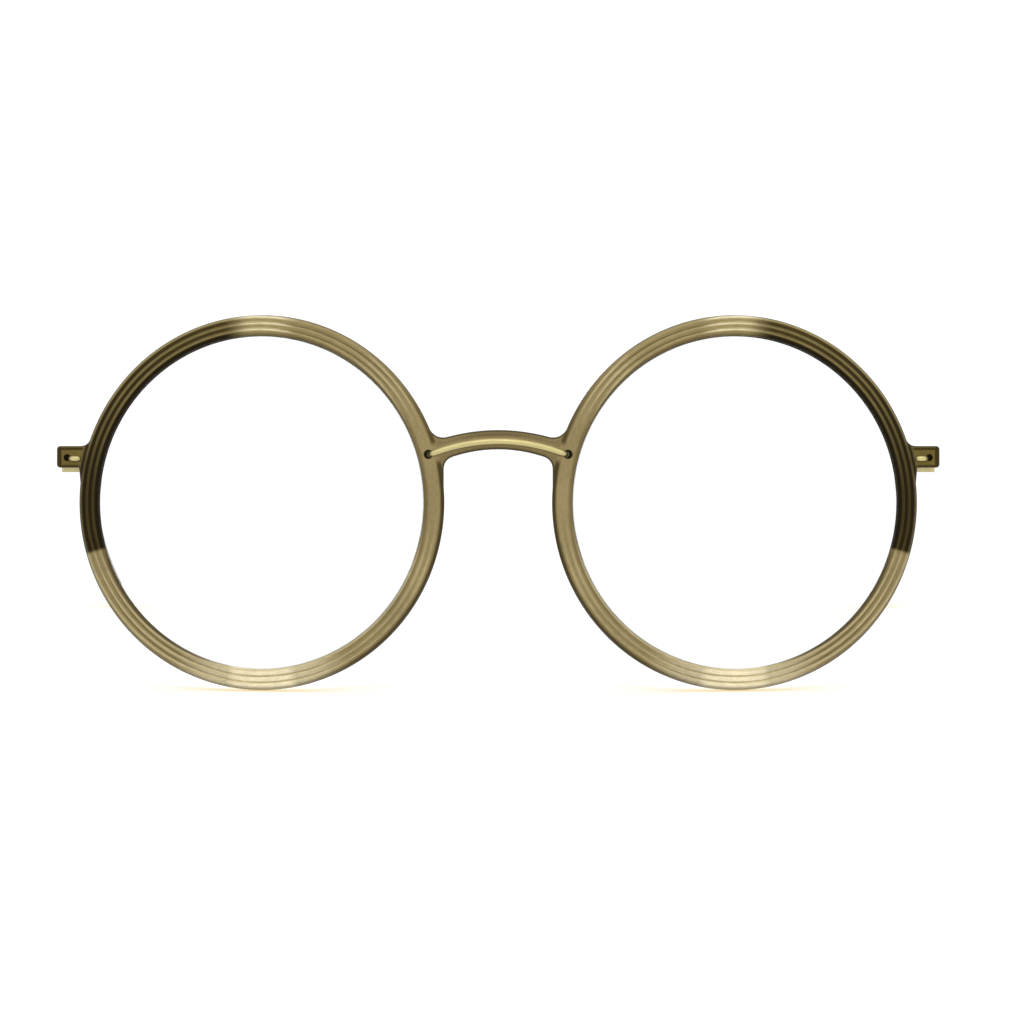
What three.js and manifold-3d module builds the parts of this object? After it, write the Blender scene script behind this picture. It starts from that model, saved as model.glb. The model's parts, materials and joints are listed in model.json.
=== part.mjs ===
// Round eyeglass frame: a reeded one-piece front, a bridge wire that carries the nose pads,
// lenses, and two folding temples. Millimetres, +Z up, the front faces -Y.
// Left and right are the wearer's: left is +X, right is -X.
import * as THREE from "three";
import { mergeVertices } from "three/addons/utils/BufferGeometryUtils.js";
import Module from "manifold-3d";

const wasm = await Module();
wasm.setup();

// Lenses
const LENS_WIDTH = 51;
const LENS_HEIGHT = 52.3;
const LENS_GAP = 22;
const LENS_THICKNESS = 1.8;
const LENS_BEVEL = 0.5;
const LENS_PLAY = 0.12;

// Front: the rims, and the curve that the whole front is formed to
const RIM_WIDTH = 3.2;
const RIM_DEPTH = 3.6;
const RIM_BEADS = 3;
const BEAD_HEIGHT = 0.45;
const RIM_SHOULDER = 0.22;
const RIM_EDGE = 0.5;
const BASE_RADIUS = 300;

// Plain face beside the nose, where the beads run out: angles are degrees above the nose side
const PLAIN_ANGLE = 10;
const PLAIN_HALF = 12;
const PLAIN_FADE = 34;
const PLAIN_CROWN = 0.2;

// Bridge: heights are measured up from the line through the lens centres
const BRIDGE_CREST = 11.2;
const BRIDGE_HEIGHT = 2.85;
const BRIDGE_SAG = 1.1;
const BRIDGE_TOP_FILLET = 2.1;
const BRIDGE_LOWER_FILLET = 1.8;
const BRIDGE_LOWER_REACH = 4.8;
const BRIDGE_TOP_DIP = 0.35;
const BRIDGE_EDGE = 0.6;

// End lugs
const LUG_LENGTH = 4.35;
const LUG_HEIGHT = 3.2;
const LUG_LEVEL = 7;
const LUG_CORNER = 0.6;
const LUG_FILLET = 1.2;
const LUG_EDGE = 0.4;
const LUG_GUSSET = 0.55;
const LUG_GUSSET_REACH = 2.4;
const LUG_HOLE_DIAMETER = 1.1;
const LUG_HOLE_INSET = 1.6;
const LUG_HOLE_LEVEL = 6.95;
const LUG_HOLE_DEPTH = 1.6;

// Bridge wire and its holes
const WIRE_DIAMETER = 0.88;
const WIRE_HOLE_DIAMETER = 1.45;
const WIRE_HOLE_INSET = 1.75;
const WIRE_HOLE_LEVEL = 7.44;
const WIRE_HOLE_DEPTH = 2.2;
const WIRE_OFFSET = 0.31;
const WIRE_CREST = 9.46;
const WIRE_SINK = 0.2;
const WIRE_BEND = 1.1;
const CHANNEL_PLAY = 0.08;

// Nose pads
const PAD_LENGTH = 13;
const PAD_WIDTH = 4.4;
const PAD_THICKNESS = 2;
const PAD_EDGE = 0.55;
const PAD_LEVEL = -2.5;
const PAD_SETBACK = 3;
const PAD_PEEK = -0.1;
const PAD_SPLAY = 20;
const PAD_TILT = 6;
const PAD_ARM_DEPTH = 5.5;
const PAD_BORE_PLAY = 0.14;
const PAD_BORE_SPARE = 0.4;

// Hinge
const HINGE_INSET = 2.4;
const BARREL_DIAMETER = 2.8;
const FRONT_BARREL_HEIGHT = 0.75;
const TEMPLE_BARREL_HEIGHT = 1.1;
const WASHER_THICKNESS = 0.2;
const HINGE_PLAY = 0.05;
const LEAF_THICKNESS = 0.9;
const LEAF_SEAT = 0.1;
const LEAF_PEEK = 0.7;
const LEAF_INSET = 1;
const LEAF_MARGIN = 0.3;
const NECK_WIDTH = 1.7;
const BARREL_CLEARANCE = 0.15;
const SCREW_DIAMETER = 1.2;
const SCREW_HEAD_DIAMETER = 1.9;
const SCREW_HEAD_HEIGHT = 0.45;
const SCREW_SLOT_WIDTH = 0.35;
const SCREW_SLOT_DEPTH = 0.25;
const SCREW_PLAY = 0.09;
const STAPLE_DIAMETER = 0.8;
const STAPLE_PLAY = 0.1;
const STAPLE_LEVEL = 6.8;
const STAPLE_INSET = 2.45;
const STAPLE_SPAN = 1.3;
const STAPLE_BEND = 0.6;

// Temples
const TEMPLE_LENGTH = 140;
const TEMPLE_TO_BEND = 98;
const TEMPLE_DROP = 45;
const TEMPLE_BEND_RADIUS = 26;
const TEMPLE_TOE_IN = 1.6;
const TEMPLE_TOE_LENGTH = 44;
const TIP_INSET = 4.2;
const TIP_CURL_START = 118;
const BAR_THICKNESS = 1.4;
const BAR_HEIGHT = 2.8;
const BAR_CHAMFER = 0.4;
const BAR_SETBACK = 0.35;
const BAR_NECK = 8;
const CORE_THICKNESS = 1;
const CORE_HEIGHT = 1.6;
const CORE_STOP = 12;
const TEMPLE_LEAF_THICKNESS = 0.7;
const TEMPLE_LEAF_LENGTH = 9;
const TEMPLE_LEAF_HEIGHT = 2.2;
const TIP_LENGTH = 66;
const TIP_THICKNESS = 2.4;
const TIP_HEIGHT = 3.8;
const TIP_END_HEIGHT = 5;
const TIP_LIP = 1.2;
const TIP_MOUTH = 0.85;
const TIP_BLUNTNESS = 0.3;
const TIP_CORE_PLAY = 0.15;

// Facets
const RIM_STEPS = 56;
const BEAD_STEPS = 4;
const ROUND_STEPS = 16;
const WIRE_SIDES = 8;
const TEMPLE_STEPS = 24;
const TIP_STEPS = 12;
const DOME_STEPS = 4;
const ARCH_STEPS = 12;
const BEND_STEPS = 5;
const CURVE_STEPS = 6;
const EDGE_STEPS = 2;
const OVERCUT = 1;
const HEADING_STEP = 0.5;
const WELD_LIMIT = 1e-4;

// Search for the resting lean
const LEAN_LIMIT = 20;
const LEAN_HALVINGS = 24;

const RADIAN = Math.PI / 180;
const LEFT = 1;
const RIGHT = -1;

// Sizes that follow from the ones above
const rimX = (LENS_WIDTH + LENS_GAP) / 2;
const openWidth = LENS_WIDTH / 2 - LENS_BEVEL;
const openHeight = LENS_HEIGHT / 2 - LENS_BEVEL;
const rimFront = -RIM_DEPTH / 2;
const rimBack = RIM_DEPTH / 2;
const faceFront = rimFront + BEAD_HEIGHT;
const barrelRadius = BARREL_DIAMETER / 2;
const screwRadius = SCREW_DIAMETER / 2;
const boreRadius = screwRadius + SCREW_PLAY;
const headRadius = SCREW_HEAD_DIAMETER / 2;
const wireRadius = WIRE_DIAMETER / 2;
const stapleRadius = STAPLE_DIAMETER / 2;
const lugEnd = temporalX(LUG_LEVEL, RIM_WIDTH) + LUG_LENGTH;
const stapleX = lugEnd - STAPLE_INSET;
const hingeX = lugEnd - HINGE_INSET;
const leafBack = rimBack + LEAF_SEAT + LEAF_THICKNESS;
const hingeY = leafBack + BARREL_CLEARANCE + barrelRadius + formedDepth(hingeX, LUG_LEVEL);
const washerGap = WASHER_THICKNESS + 2 * HINGE_PLAY;
const barX = hingeX + TEMPLE_LEAF_THICKNESS / 2 + HINGE_PLAY + BAR_THICKNESS / 2;
const barStart = barrelRadius + BAR_SETBACK;
const leafEnd = barStart + TEMPLE_LEAF_LENGTH;
const templeHalf = TEMPLE_BARREL_HEIGHT / 2;
const frontLow = templeHalf + washerGap;
const frontHigh = frontLow + FRONT_BARREL_HEIGHT;
const tipStart = TEMPLE_LENGTH - TIP_LENGTH;
const coreEnd = TEMPLE_LENGTH - CORE_STOP;
const wireHoleX = nasalX(WIRE_HOLE_LEVEL, WIRE_HOLE_INSET);
const wireX = wireHoleX - WIRE_OFFSET;
const lugHoleX = lugEnd - LUG_HOLE_INSET;
const padX = nasalX(PAD_LEVEL, RIM_WIDTH) - PAD_PEEK
  + (PAD_WIDTH * Math.sin(PAD_SPLAY * RADIAN) + PAD_THICKNESS * Math.cos(PAD_SPLAY * RADIAN)) / 2;
const padY = rimBack + PAD_SETBACK;

// How far back the formed front lies at a place in its face
function formedDepth(x, z) {
  return (x * x + z * z) / (2 * BASE_RADIUS);
}

// Across one rim at a height: the point that lies `offset` outside the lens opening, at the nose
// side and at the temple side
function nasalX(z, offset) {
  return rimX - (openWidth + offset) * Math.sqrt(1 - (z / (openHeight + offset)) ** 2);
}

function temporalX(z, offset) {
  return 2 * rimX - nasalX(z, offset);
}

// A closed geometry as a solid that can be joined and cut
function solid(geometry) {
  const bare = geometry.clone();
  bare.deleteAttribute("normal");
  bare.deleteAttribute("uv");
  const merged = mergeVertices(bare, WELD_LIMIT);
  return new wasm.Manifold(new wasm.Mesh({
    numProp: 3,
    vertProperties: merged.attributes.position.array,
    triVerts: new Uint32Array(merged.index.array),
  }));
}

function geometryOf(body) {
  const mesh = body.getMesh();
  const geometry = new THREE.BufferGeometry();
  geometry.setAttribute("position", new THREE.BufferAttribute(mesh.vertProperties, 3));
  geometry.setIndex(new THREE.BufferAttribute(mesh.triVerts, 1));
  return geometry;
}

function join(geometries) {
  const bodies = geometries.map(solid);
  return geometryOf(bodies.reduce((whole, body) => whole.add(body)));
}

function cut(geometry, tools) {
  return geometryOf(tools.map(solid).reduce((whole, tool) => whole.subtract(tool), solid(geometry)));
}

// Forms flat work to the front's curve
function formed(geometry) {
  const points = geometry.attributes.position;
  for (let i = 0; i < points.count; i++) {
    points.setY(i, points.getY(i) + formedDepth(points.getX(i), points.getZ(i)));
  }
  return geometry;
}

// A closed skin through rings of equal length, capped at both ends
function loft(rings) {
  const sides = rings[0].length;
  const points = rings.flat();
  const faces = [];
  for (let r = 0; r + 1 < rings.length; r++) {
    for (let s = 0; s < sides; s++) {
      const a = r * sides + s;
      const b = r * sides + ((s + 1) % sides);
      faces.push(a, b, a + sides, b, b + sides, a + sides);
    }
  }
  const last = (rings.length - 1) * sides;
  for (let s = 1; s + 1 < sides; s++) {
    faces.push(0, s + 1, s);
    faces.push(last, last + s, last + s + 1);
  }
  const geometry = new THREE.BufferGeometry().setFromPoints(points);
  geometry.setIndex(faces);
  return geometry;
}

// A round bar along a route; each ring is turned only as far as the route turns
function roundBar(route, radius) {
  const turn = new THREE.Quaternion();
  const side = new THREE.Vector3(1, 0, 0);
  const heading = route[1].clone().sub(route[0]).normalize();
  side.addScaledVector(heading, -side.dot(heading)).normalize();
  const rings = route.map((point, i) => {
    const next = route[Math.min(i + 1, route.length - 1)].clone();
    const along = next.sub(route[Math.max(i - 1, 0)]).normalize();
    turn.setFromUnitVectors(heading, along);
    heading.copy(along);
    side.applyQuaternion(turn);
    const across = new THREE.Vector3().crossVectors(along, side);
    return Array.from({ length: WIRE_SIDES }, (_, k) => {
      const angle = (k / WIRE_SIDES) * 2 * Math.PI;
      return point.clone()
        .addScaledVector(side, radius * Math.cos(angle))
        .addScaledVector(across, radius * Math.sin(angle));
    });
  });
  return loft(rings);
}

// A route through corner points, each inner corner eased by a bend that starts `reach` before it
function easedRoute(corners, reach) {
  const route = [corners[0]];
  for (let i = 1; i + 1 < corners.length; i++) {
    const [before, corner, after] = corners.slice(i - 1, i + 2);
    const start = corner.clone().lerp(before, reach / corner.distanceTo(before));
    const end = corner.clone().lerp(after, reach / corner.distanceTo(after));
    route.push(...new THREE.QuadraticBezierCurve3(start, corner, end).getPoints(BEND_STEPS));
  }
  route.push(corners.at(-1));
  return route;
}

// Turns a flat outline drawn in x and height into a plate from one depth to another, edges rounded
function plate(outline, front, back, edge) {
  const geometry = new THREE.ExtrudeGeometry(outline, {
    depth: back - front - 2 * edge,
    bevelEnabled: edge > 0,
    bevelThickness: edge,
    bevelSize: edge,
    bevelOffset: -edge,
    bevelSegments: EDGE_STEPS,
    curveSegments: CURVE_STEPS,
  });
  return geometry.translate(0, 0, edge - back).rotateX(Math.PI / 2);
}

function pin(diameter, x, z, front, back) {
  const geometry = new THREE.CylinderGeometry(diameter / 2, diameter / 2, back - front, ROUND_STEPS);
  return geometry.translate(x, (front + back) / 2, z);
}

// Lets the beads of a rim run out into a plain crowned face beside the nose
function fadeBeads(points, side) {
  for (let k = 0; k < points.count; k++) {
    const x = points.getX(k);
    const y = points.getY(k);
    const z = points.getZ(k);
    if (y > faceFront + WELD_LIMIT) continue;
    const angle = THREE.MathUtils.radToDeg(Math.atan2(z, -side * x));
    const beads = blend(0, 1, (Math.abs(angle - PLAIN_ANGLE) - PLAIN_HALF) / PLAIN_FADE);
    const middle = (2 * (Math.hypot(x, z) - openWidth)) / RIM_WIDTH - 1;
    const crown = PLAIN_CROWN * (1 - Math.min(1, middle ** 2));
    points.setY(k, faceFront + (y - faceFront) * beads - crown * (1 - beads));
  }
}

// One rim: its section has the beads in front between plain shoulders, a rounded back and the lens
// groove inside
function rimRing(side) {
  const section = [new THREE.Vector2(0, faceFront + RIM_SHOULDER)];
  const step = (RIM_WIDTH - 2 * RIM_SHOULDER) / (RIM_BEADS * BEAD_STEPS);
  for (let k = 0; k <= RIM_BEADS * BEAD_STEPS; k++) {
    const rise = Math.sqrt(Math.abs(Math.sin((k * Math.PI) / BEAD_STEPS)));
    section.push(new THREE.Vector2(RIM_SHOULDER + k * step, faceFront - BEAD_HEIGHT * rise));
  }
  section.push(new THREE.Vector2(RIM_WIDTH, faceFront + RIM_SHOULDER));
  section.push(new THREE.Vector2(RIM_WIDTH, rimBack - RIM_EDGE));
  section.push(new THREE.Vector2(RIM_WIDTH - RIM_EDGE, rimBack));
  section.push(new THREE.Vector2(RIM_EDGE, rimBack));
  section.push(new THREE.Vector2(0, rimBack - RIM_EDGE));
  section.push(new THREE.Vector2(0, LENS_BEVEL));
  section.push(new THREE.Vector2(LENS_BEVEL, 0));
  section.push(new THREE.Vector2(0, -LENS_BEVEL));
  section.push(section[0].clone());
  const turned = section.map((p) => new THREE.Vector2(openWidth + p.x, p.y));
  const rim = new THREE.LatheGeometry(turned, RIM_STEPS);
  fadeBeads(rim.attributes.position, side);
  return rim.scale(1, 1, openHeight / openWidth).translate(side * rimX, 0, 0);
}

// The bridge, its ends rooted in the rims under the beads
function bridgeBar() {
  const root = RIM_WIDTH / 2;
  const top = BRIDGE_CREST - BRIDGE_SAG;
  const low = top - BRIDGE_HEIGHT;
  const topEnd = nasalX(top, RIM_WIDTH) - BRIDGE_TOP_FILLET;
  const lowEnd = nasalX(low, RIM_WIDTH) - BRIDGE_LOWER_FILLET;
  const highRoot = top + BRIDGE_TOP_FILLET;
  const lowRoot = low - BRIDGE_LOWER_REACH;
  const outline = new THREE.Shape();
  outline.moveTo(-topEnd, top);
  outline.quadraticCurveTo(0, top + 2 * BRIDGE_SAG, topEnd, top);
  outline.quadraticCurveTo(
    nasalX(top, RIM_WIDTH), top - BRIDGE_TOP_DIP, nasalX(highRoot, RIM_WIDTH), highRoot);
  outline.lineTo(nasalX(highRoot, root), highRoot);
  outline.lineTo(nasalX(lowRoot, root), lowRoot);
  outline.lineTo(nasalX(lowRoot, RIM_WIDTH), lowRoot);
  outline.quadraticCurveTo(nasalX(low, RIM_WIDTH) - BRIDGE_LOWER_FILLET / 2, low, lowEnd, low);
  outline.quadraticCurveTo(0, low + 2 * BRIDGE_SAG, -lowEnd, low);
  outline.quadraticCurveTo(
    BRIDGE_LOWER_FILLET / 2 - nasalX(low, RIM_WIDTH), low, -nasalX(lowRoot, RIM_WIDTH), lowRoot);
  outline.lineTo(-nasalX(lowRoot, root), lowRoot);
  outline.lineTo(-nasalX(highRoot, root), highRoot);
  outline.lineTo(-nasalX(highRoot, RIM_WIDTH), highRoot);
  outline.quadraticCurveTo(-nasalX(top, RIM_WIDTH), top - BRIDGE_TOP_DIP, -topEnd, top);
  return plate(outline, faceFront, rimBack, BRIDGE_EDGE);
}

// One end lug, rooted in its rim, with a fillet above, a gusset below and rounded outer corners
function endLug(side) {
  const root = RIM_WIDTH / 2;
  const top = LUG_LEVEL + LUG_HEIGHT / 2;
  const low = LUG_LEVEL - LUG_HEIGHT / 2;
  const highRoot = top + LUG_FILLET;
  const lowRoot = low - LUG_GUSSET_REACH;
  const outline = new THREE.Shape();
  outline.moveTo(side * temporalX(lowRoot, root), lowRoot);
  outline.lineTo(side * temporalX(lowRoot, RIM_WIDTH), lowRoot);
  outline.lineTo(side * (temporalX(low, RIM_WIDTH) + LUG_GUSSET), low);
  outline.lineTo(side * (lugEnd - LUG_CORNER), low);
  outline.quadraticCurveTo(side * lugEnd, low, side * lugEnd, low + LUG_CORNER);
  outline.lineTo(side * lugEnd, top - LUG_CORNER);
  outline.quadraticCurveTo(side * lugEnd, top, side * (lugEnd - LUG_CORNER), top);
  outline.lineTo(side * (temporalX(top, RIM_WIDTH) + LUG_FILLET), top);
  outline.quadraticCurveTo(
    side * temporalX(top, RIM_WIDTH), top, side * temporalX(highRoot, RIM_WIDTH), highRoot);
  outline.lineTo(side * temporalX(highRoot, root), highRoot);
  return plate(outline, faceFront, rimBack, LUG_EDGE);
}

// The front with its blind holes, and the channels that the wire and the staples lie in
function frontFrame() {
  const blank = join([
    rimRing(RIGHT), rimRing(LEFT), bridgeBar(), endLug(RIGHT), endLug(LEFT),
  ]);
  const tools = [roundBar(wireRoute(), wireRadius + CHANNEL_PLAY)];
  for (const side of [RIGHT, LEFT]) {
    tools.push(pin(
      WIRE_HOLE_DIAMETER, side * wireHoleX, WIRE_HOLE_LEVEL,
      rimFront - OVERCUT, rimFront + WIRE_HOLE_DEPTH));
    tools.push(pin(
      LUG_HOLE_DIAMETER, side * lugHoleX, LUG_HOLE_LEVEL,
      rimFront - OVERCUT, faceFront + LUG_HOLE_DEPTH));
    tools.push(roundBar(stapleRoute(side), stapleRadius + CHANNEL_PLAY));
  }
  return formed(cut(blank, tools));
}

// A lens for the left rim, its edge bevelled to sit in the rim's groove
function lens() {
  const body = openWidth - LENS_PLAY;
  const half = LENS_THICKNESS / 2;
  const bevel = LENS_BEVEL - LENS_PLAY;
  const section = [
    [0, -half], [body / 2, -half], [body, -half], [body, -bevel], [body + bevel, 0],
    [body, bevel], [body, half], [body / 2, half], [0, half],
  ].map(([r, y]) => new THREE.Vector2(r, y));
  const turned = new THREE.LatheGeometry(section, RIM_STEPS)
    .scale(1, 1, openHeight / openWidth)
    .translate(rimX, 0, 0);
  return formed(turned);
}

// A point on the nose pad's own axis, a distance above the pad's middle
function padPoint(above) {
  return new THREE.Vector3(
    padX - above * Math.sin(PAD_TILT * RADIAN), padY, PAD_LEVEL + above * Math.cos(PAD_TILT * RADIAN));
}

// The bridge wire's way: over the bridge, through the rims, and down into the nose pads
function wireRoute() {
  const archY = faceFront + WIRE_SINK - wireRadius;
  const arch = (x) => WIRE_CREST - (WIRE_CREST - WIRE_HOLE_LEVEL) * (x / wireX) ** 2;
  const corners = [
    padPoint(PAD_LENGTH / 2 - PAD_ARM_DEPTH),
    padPoint(PAD_LENGTH / 2 + WIRE_BEND),
    new THREE.Vector3(wireX, padY, WIRE_HOLE_LEVEL),
    new THREE.Vector3(wireX, archY, WIRE_HOLE_LEVEL),
    new THREE.Vector3(wireX - 2 * WIRE_BEND, archY, arch(wireX - 2 * WIRE_BEND)),
  ];
  const half = easedRoute(corners, WIRE_BEND);
  const reach = corners.at(-1).x;
  const middle = [];
  for (let k = 1; k < ARCH_STEPS; k++) {
    const x = reach * (1 - (2 * k) / ARCH_STEPS);
    middle.push(new THREE.Vector3(x, archY, arch(x)));
  }
  const mirrored = half.map((p) => new THREE.Vector3(-p.x, p.y, p.z)).reverse();
  return [...half, ...middle, ...mirrored];
}

// A nose pad, its flat face towards -X, with a bore from the top for the wire
function nosePad() {
  const outline = new THREE.Shape();
  outline.absellipse(0, 0, PAD_WIDTH / 2, PAD_LENGTH / 2, 0, 2 * Math.PI);
  const body = plate(outline, -PAD_THICKNESS / 2, PAD_THICKNESS / 2, PAD_EDGE).rotateZ(-Math.PI / 2);
  const bore = new THREE.CylinderGeometry(
    wireRadius + PAD_BORE_PLAY, wireRadius + PAD_BORE_PLAY, PAD_LENGTH, ROUND_STEPS)
    .rotateX(Math.PI / 2)
    .translate(0, 0, PAD_LENGTH - PAD_ARM_DEPTH - PAD_BORE_SPARE);
  return cut(body, [bore]);
}

// A hinge staple's way: a bar across the lug in front, and two legs back into the hinge leaf
function stapleRoute(side) {
  const outer = side * stapleX;
  const inner = side * (stapleX - STAPLE_SPAN);
  const barY = faceFront + WIRE_SINK - stapleRadius;
  const legEnd = leafBack - HINGE_PLAY;
  const corners = [
    new THREE.Vector3(outer, legEnd, STAPLE_LEVEL),
    new THREE.Vector3(outer, barY, STAPLE_LEVEL),
    new THREE.Vector3(inner, barY, STAPLE_LEVEL),
    new THREE.Vector3(inner, legEnd, STAPLE_LEVEL),
  ];
  return easedRoute(corners, STAPLE_BEND);
}

// A cylinder about the hinge's axis between two heights
function drum(radius, low, high) {
  return new THREE.CylinderGeometry(radius, radius, high - low, ROUND_STEPS)
    .rotateX(Math.PI / 2)
    .translate(0, 0, (low + high) / 2);
}

function block(x0, x1, y0, y1, z0, z1) {
  return new THREE.BoxGeometry(x1 - x0, y1 - y0, z1 - z0)
    .translate((x0 + x1) / 2, (y0 + y1) / 2, (z0 + z1) / 2);
}

// One front barrel on its neck, bored for the screw, with a seat for the screw's head if it has one
function frontBarrel(low, high, headDepth) {
  const neckFront = BARREL_CLEARANCE + LEAF_THICKNESS / 2 + barrelRadius;
  const blank = join([
    drum(barrelRadius, low, high),
    block(-NECK_WIDTH / 2, NECK_WIDTH / 2, -neckFront, 0, low, high),
  ]);
  const tools = [drum(boreRadius, low - OVERCUT, high + OVERCUT)];
  if (headDepth > 0) tools.push(drum(headRadius + SCREW_PLAY, high - headDepth, high + OVERCUT));
  return cut(blank, tools);
}

// The front leaf: a plate behind the lug, drilled for the staple, and two barrels
function frontLeaf() {
  const margin = stapleRadius + LEAF_MARGIN;
  const low = LUG_LEVEL - LUG_HEIGHT / 2 - LEAF_PEEK;
  const flat = block(
    stapleX - STAPLE_SPAN - margin, lugEnd - LEAF_INSET,
    leafBack - LEAF_THICKNESS, leafBack, low, LUG_LEVEL + frontHigh);
  const legHoles = [stapleX, stapleX - STAPLE_SPAN].map((x) =>
    pin(STAPLE_DIAMETER + 2 * STAPLE_PLAY, x, STAPLE_LEVEL, rimBack, leafBack + OVERCUT));
  return join([
    formed(cut(flat, legHoles)).translate(-hingeX, -hingeY, -LUG_LEVEL),
    frontBarrel(frontLow, frontHigh, SCREW_HEAD_HEIGHT),
    frontBarrel(-frontHigh, -frontLow, 0),
  ]);
}

function hingeScrew() {
  const under = frontHigh - SCREW_HEAD_HEIGHT + HINGE_PLAY;
  const body = join([
    drum(screwRadius, -frontHigh, under + HINGE_PLAY),
    drum(headRadius, under, frontHigh),
  ]);
  const slot = block(
    -SCREW_HEAD_DIAMETER, SCREW_HEAD_DIAMETER, -SCREW_SLOT_WIDTH / 2, SCREW_SLOT_WIDTH / 2,
    frontHigh - SCREW_SLOT_DEPTH, frontHigh + OVERCUT);
  return cut(body, [slot]);
}

function hingeWasher() {
  const half = WASHER_THICKNESS / 2;
  return cut(drum(barrelRadius - HINGE_PLAY, -half, half), [drum(boreRadius, -OVERCUT, OVERCUT)]);
}

// The temple leaf: the middle barrel, and a plate on the bar's inner face
function templeLeaf() {
  const half = TEMPLE_LEAF_THICKNESS / 2;
  const blank = join([
    drum(barrelRadius, -templeHalf, templeHalf),
    block(-half, half, 0, leafEnd, -templeHalf, templeHalf),
    block(-half, half, barStart, leafEnd, -TEMPLE_LEAF_HEIGHT / 2, TEMPLE_LEAF_HEIGHT / 2),
  ]);
  return cut(blank, [drum(boreRadius, -OVERCUT, OVERCUT)]);
}

// A point on the temple's middle line, about the hinge's axis, a length back from the hinge
function templePoint(along) {
  const drop = TEMPLE_DROP * RADIAN;
  const straight = Math.min(along, TEMPLE_TO_BEND);
  const bent = THREE.MathUtils.clamp((along - TEMPLE_TO_BEND) / TEMPLE_BEND_RADIUS, 0, drop);
  const beyond = Math.max(along - TEMPLE_TO_BEND - TEMPLE_BEND_RADIUS * drop, 0);
  const back = straight + TEMPLE_BEND_RADIUS * Math.sin(bent) + beyond * Math.cos(drop);
  const down = TEMPLE_BEND_RADIUS * (1 - Math.cos(bent)) + beyond * Math.sin(drop);
  const toe = blend(0, TEMPLE_TOE_IN, (along - leafEnd) / TEMPLE_TOE_LENGTH);
  const curl = Math.max(along - TIP_CURL_START, 0) / (TEMPLE_LENGTH - TIP_CURL_START);
  return new THREE.Vector3(barX - hingeX - toe - TIP_INSET * curl ** 2, back, -down);
}

function blend(from, to, share) {
  return THREE.MathUtils.lerp(from, to, THREE.MathUtils.smoothstep(share, 0, 1));
}

// Even lengths from one place on the temple to another
function stations(from, to, steps) {
  return Array.from({ length: steps + 1 }, (_, k) => from + ((to - from) * k) / steps);
}

// A bar with chamfered corners along the temple's line, thickness and height given by length
function templeLoft(lengths, thickness, height) {
  const rings = lengths.map((along) => {
    const before = templePoint(along - HEADING_STEP);
    const heading = templePoint(along + HEADING_STEP).sub(before).normalize();
    const up = new THREE.Vector3(1, 0, 0).cross(heading).normalize();
    const out = new THREE.Vector3().crossVectors(heading, up);
    const w = thickness(along) / 2;
    const h = height(along) / 2;
    const c = BAR_CHAMFER * Math.min(w, h);
    return [
      [w - c, -h], [c - w, -h], [-w, c - h], [-w, h - c], [c - w, h], [w - c, h], [w, h - c], [w, c - h],
    ].map(([a, b]) => templePoint(along).addScaledVector(out, a).addScaledVector(up, b));
  });
  return loft(rings);
}

// The bar narrows into the core that runs inside the tip
function barThickness(along) {
  return blend(BAR_THICKNESS, CORE_THICKNESS, (along - tipStart) / BAR_NECK + 1);
}

function barHeight(along) {
  return blend(BAR_HEIGHT, CORE_HEIGHT, (along - tipStart) / BAR_NECK + 1);
}

function templeBar() {
  return templeLoft(stations(barStart, coreEnd, TEMPLE_STEPS), barThickness, barHeight);
}

// The tip: a sleeve over the core, taller towards its end, with a narrowed mouth and a domed end
function templeTip() {
  const dome = TIP_END_HEIGHT / 2;
  const turns = stations(0, Math.PI / 2, DOME_STEPS);
  const domed = turns.map((turn) => TEMPLE_LENGTH - dome * (1 - Math.sin(turn)));
  const lengths = [
    tipStart, ...stations(tipStart + TIP_LIP, TEMPLE_LENGTH - dome - TIP_LIP, TIP_STEPS), ...domed,
  ];
  const round = (along) => {
    const toEnd = Math.min((TEMPLE_LENGTH - along) / dome, 1);
    const toMouth = Math.min((along - tipStart) / TIP_LIP, 1);
    const end = Math.max(Math.sqrt(1 - (1 - toEnd) ** 2), TIP_BLUNTNESS);
    return end * THREE.MathUtils.lerp(TIP_MOUTH, 1, toMouth);
  };
  const sleeve = templeLoft(
    lengths,
    (along) => TIP_THICKNESS * round(along),
    (along) => blend(TIP_HEIGHT, TIP_END_HEIGHT, (along - tipStart) / TIP_LENGTH) * round(along));
  const bore = templeLoft(
    stations(tipStart - TIP_LIP, coreEnd + TIP_LIP, TEMPLE_STEPS / 2),
    (along) => barThickness(along) + 2 * TIP_CORE_PLAY,
    (along) => barHeight(along) + 2 * TIP_CORE_PLAY);
  return cut(sleeve, [bore]);
}

function mesh(name, geometry, material) {
  const piece = new THREE.Mesh(geometry, material.clone());
  geometry.computeVertexNormals();
  piece.name = name;
  return piece;
}

const acetate = new THREE.MeshStandardMaterial({ color: 0xa8966a, roughness: 0.35 });
const gold = new THREE.MeshStandardMaterial({ color: 0xd9c27a, roughness: 0.3, metalness: 1 });
const steel = new THREE.MeshStandardMaterial({ color: 0xcfc6ae, roughness: 0.3, metalness: 1 });
const nylon = new THREE.MeshStandardMaterial({ color: 0xf2efe6, roughness: 0.6 });
const clear = new THREE.MeshStandardMaterial({ color: 0xf4f8f8, transparent: true, opacity: 0.2 });
const padStuff = new THREE.MeshStandardMaterial({ color: 0x6a5b36, roughness: 0.5 });

const glasses = new THREE.Group();
glasses.add(mesh("front_frame", frontFrame(), acetate));
glasses.add(mesh("bridge_wire", formed(roundBar(wireRoute(), wireRadius)), gold));

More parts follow.
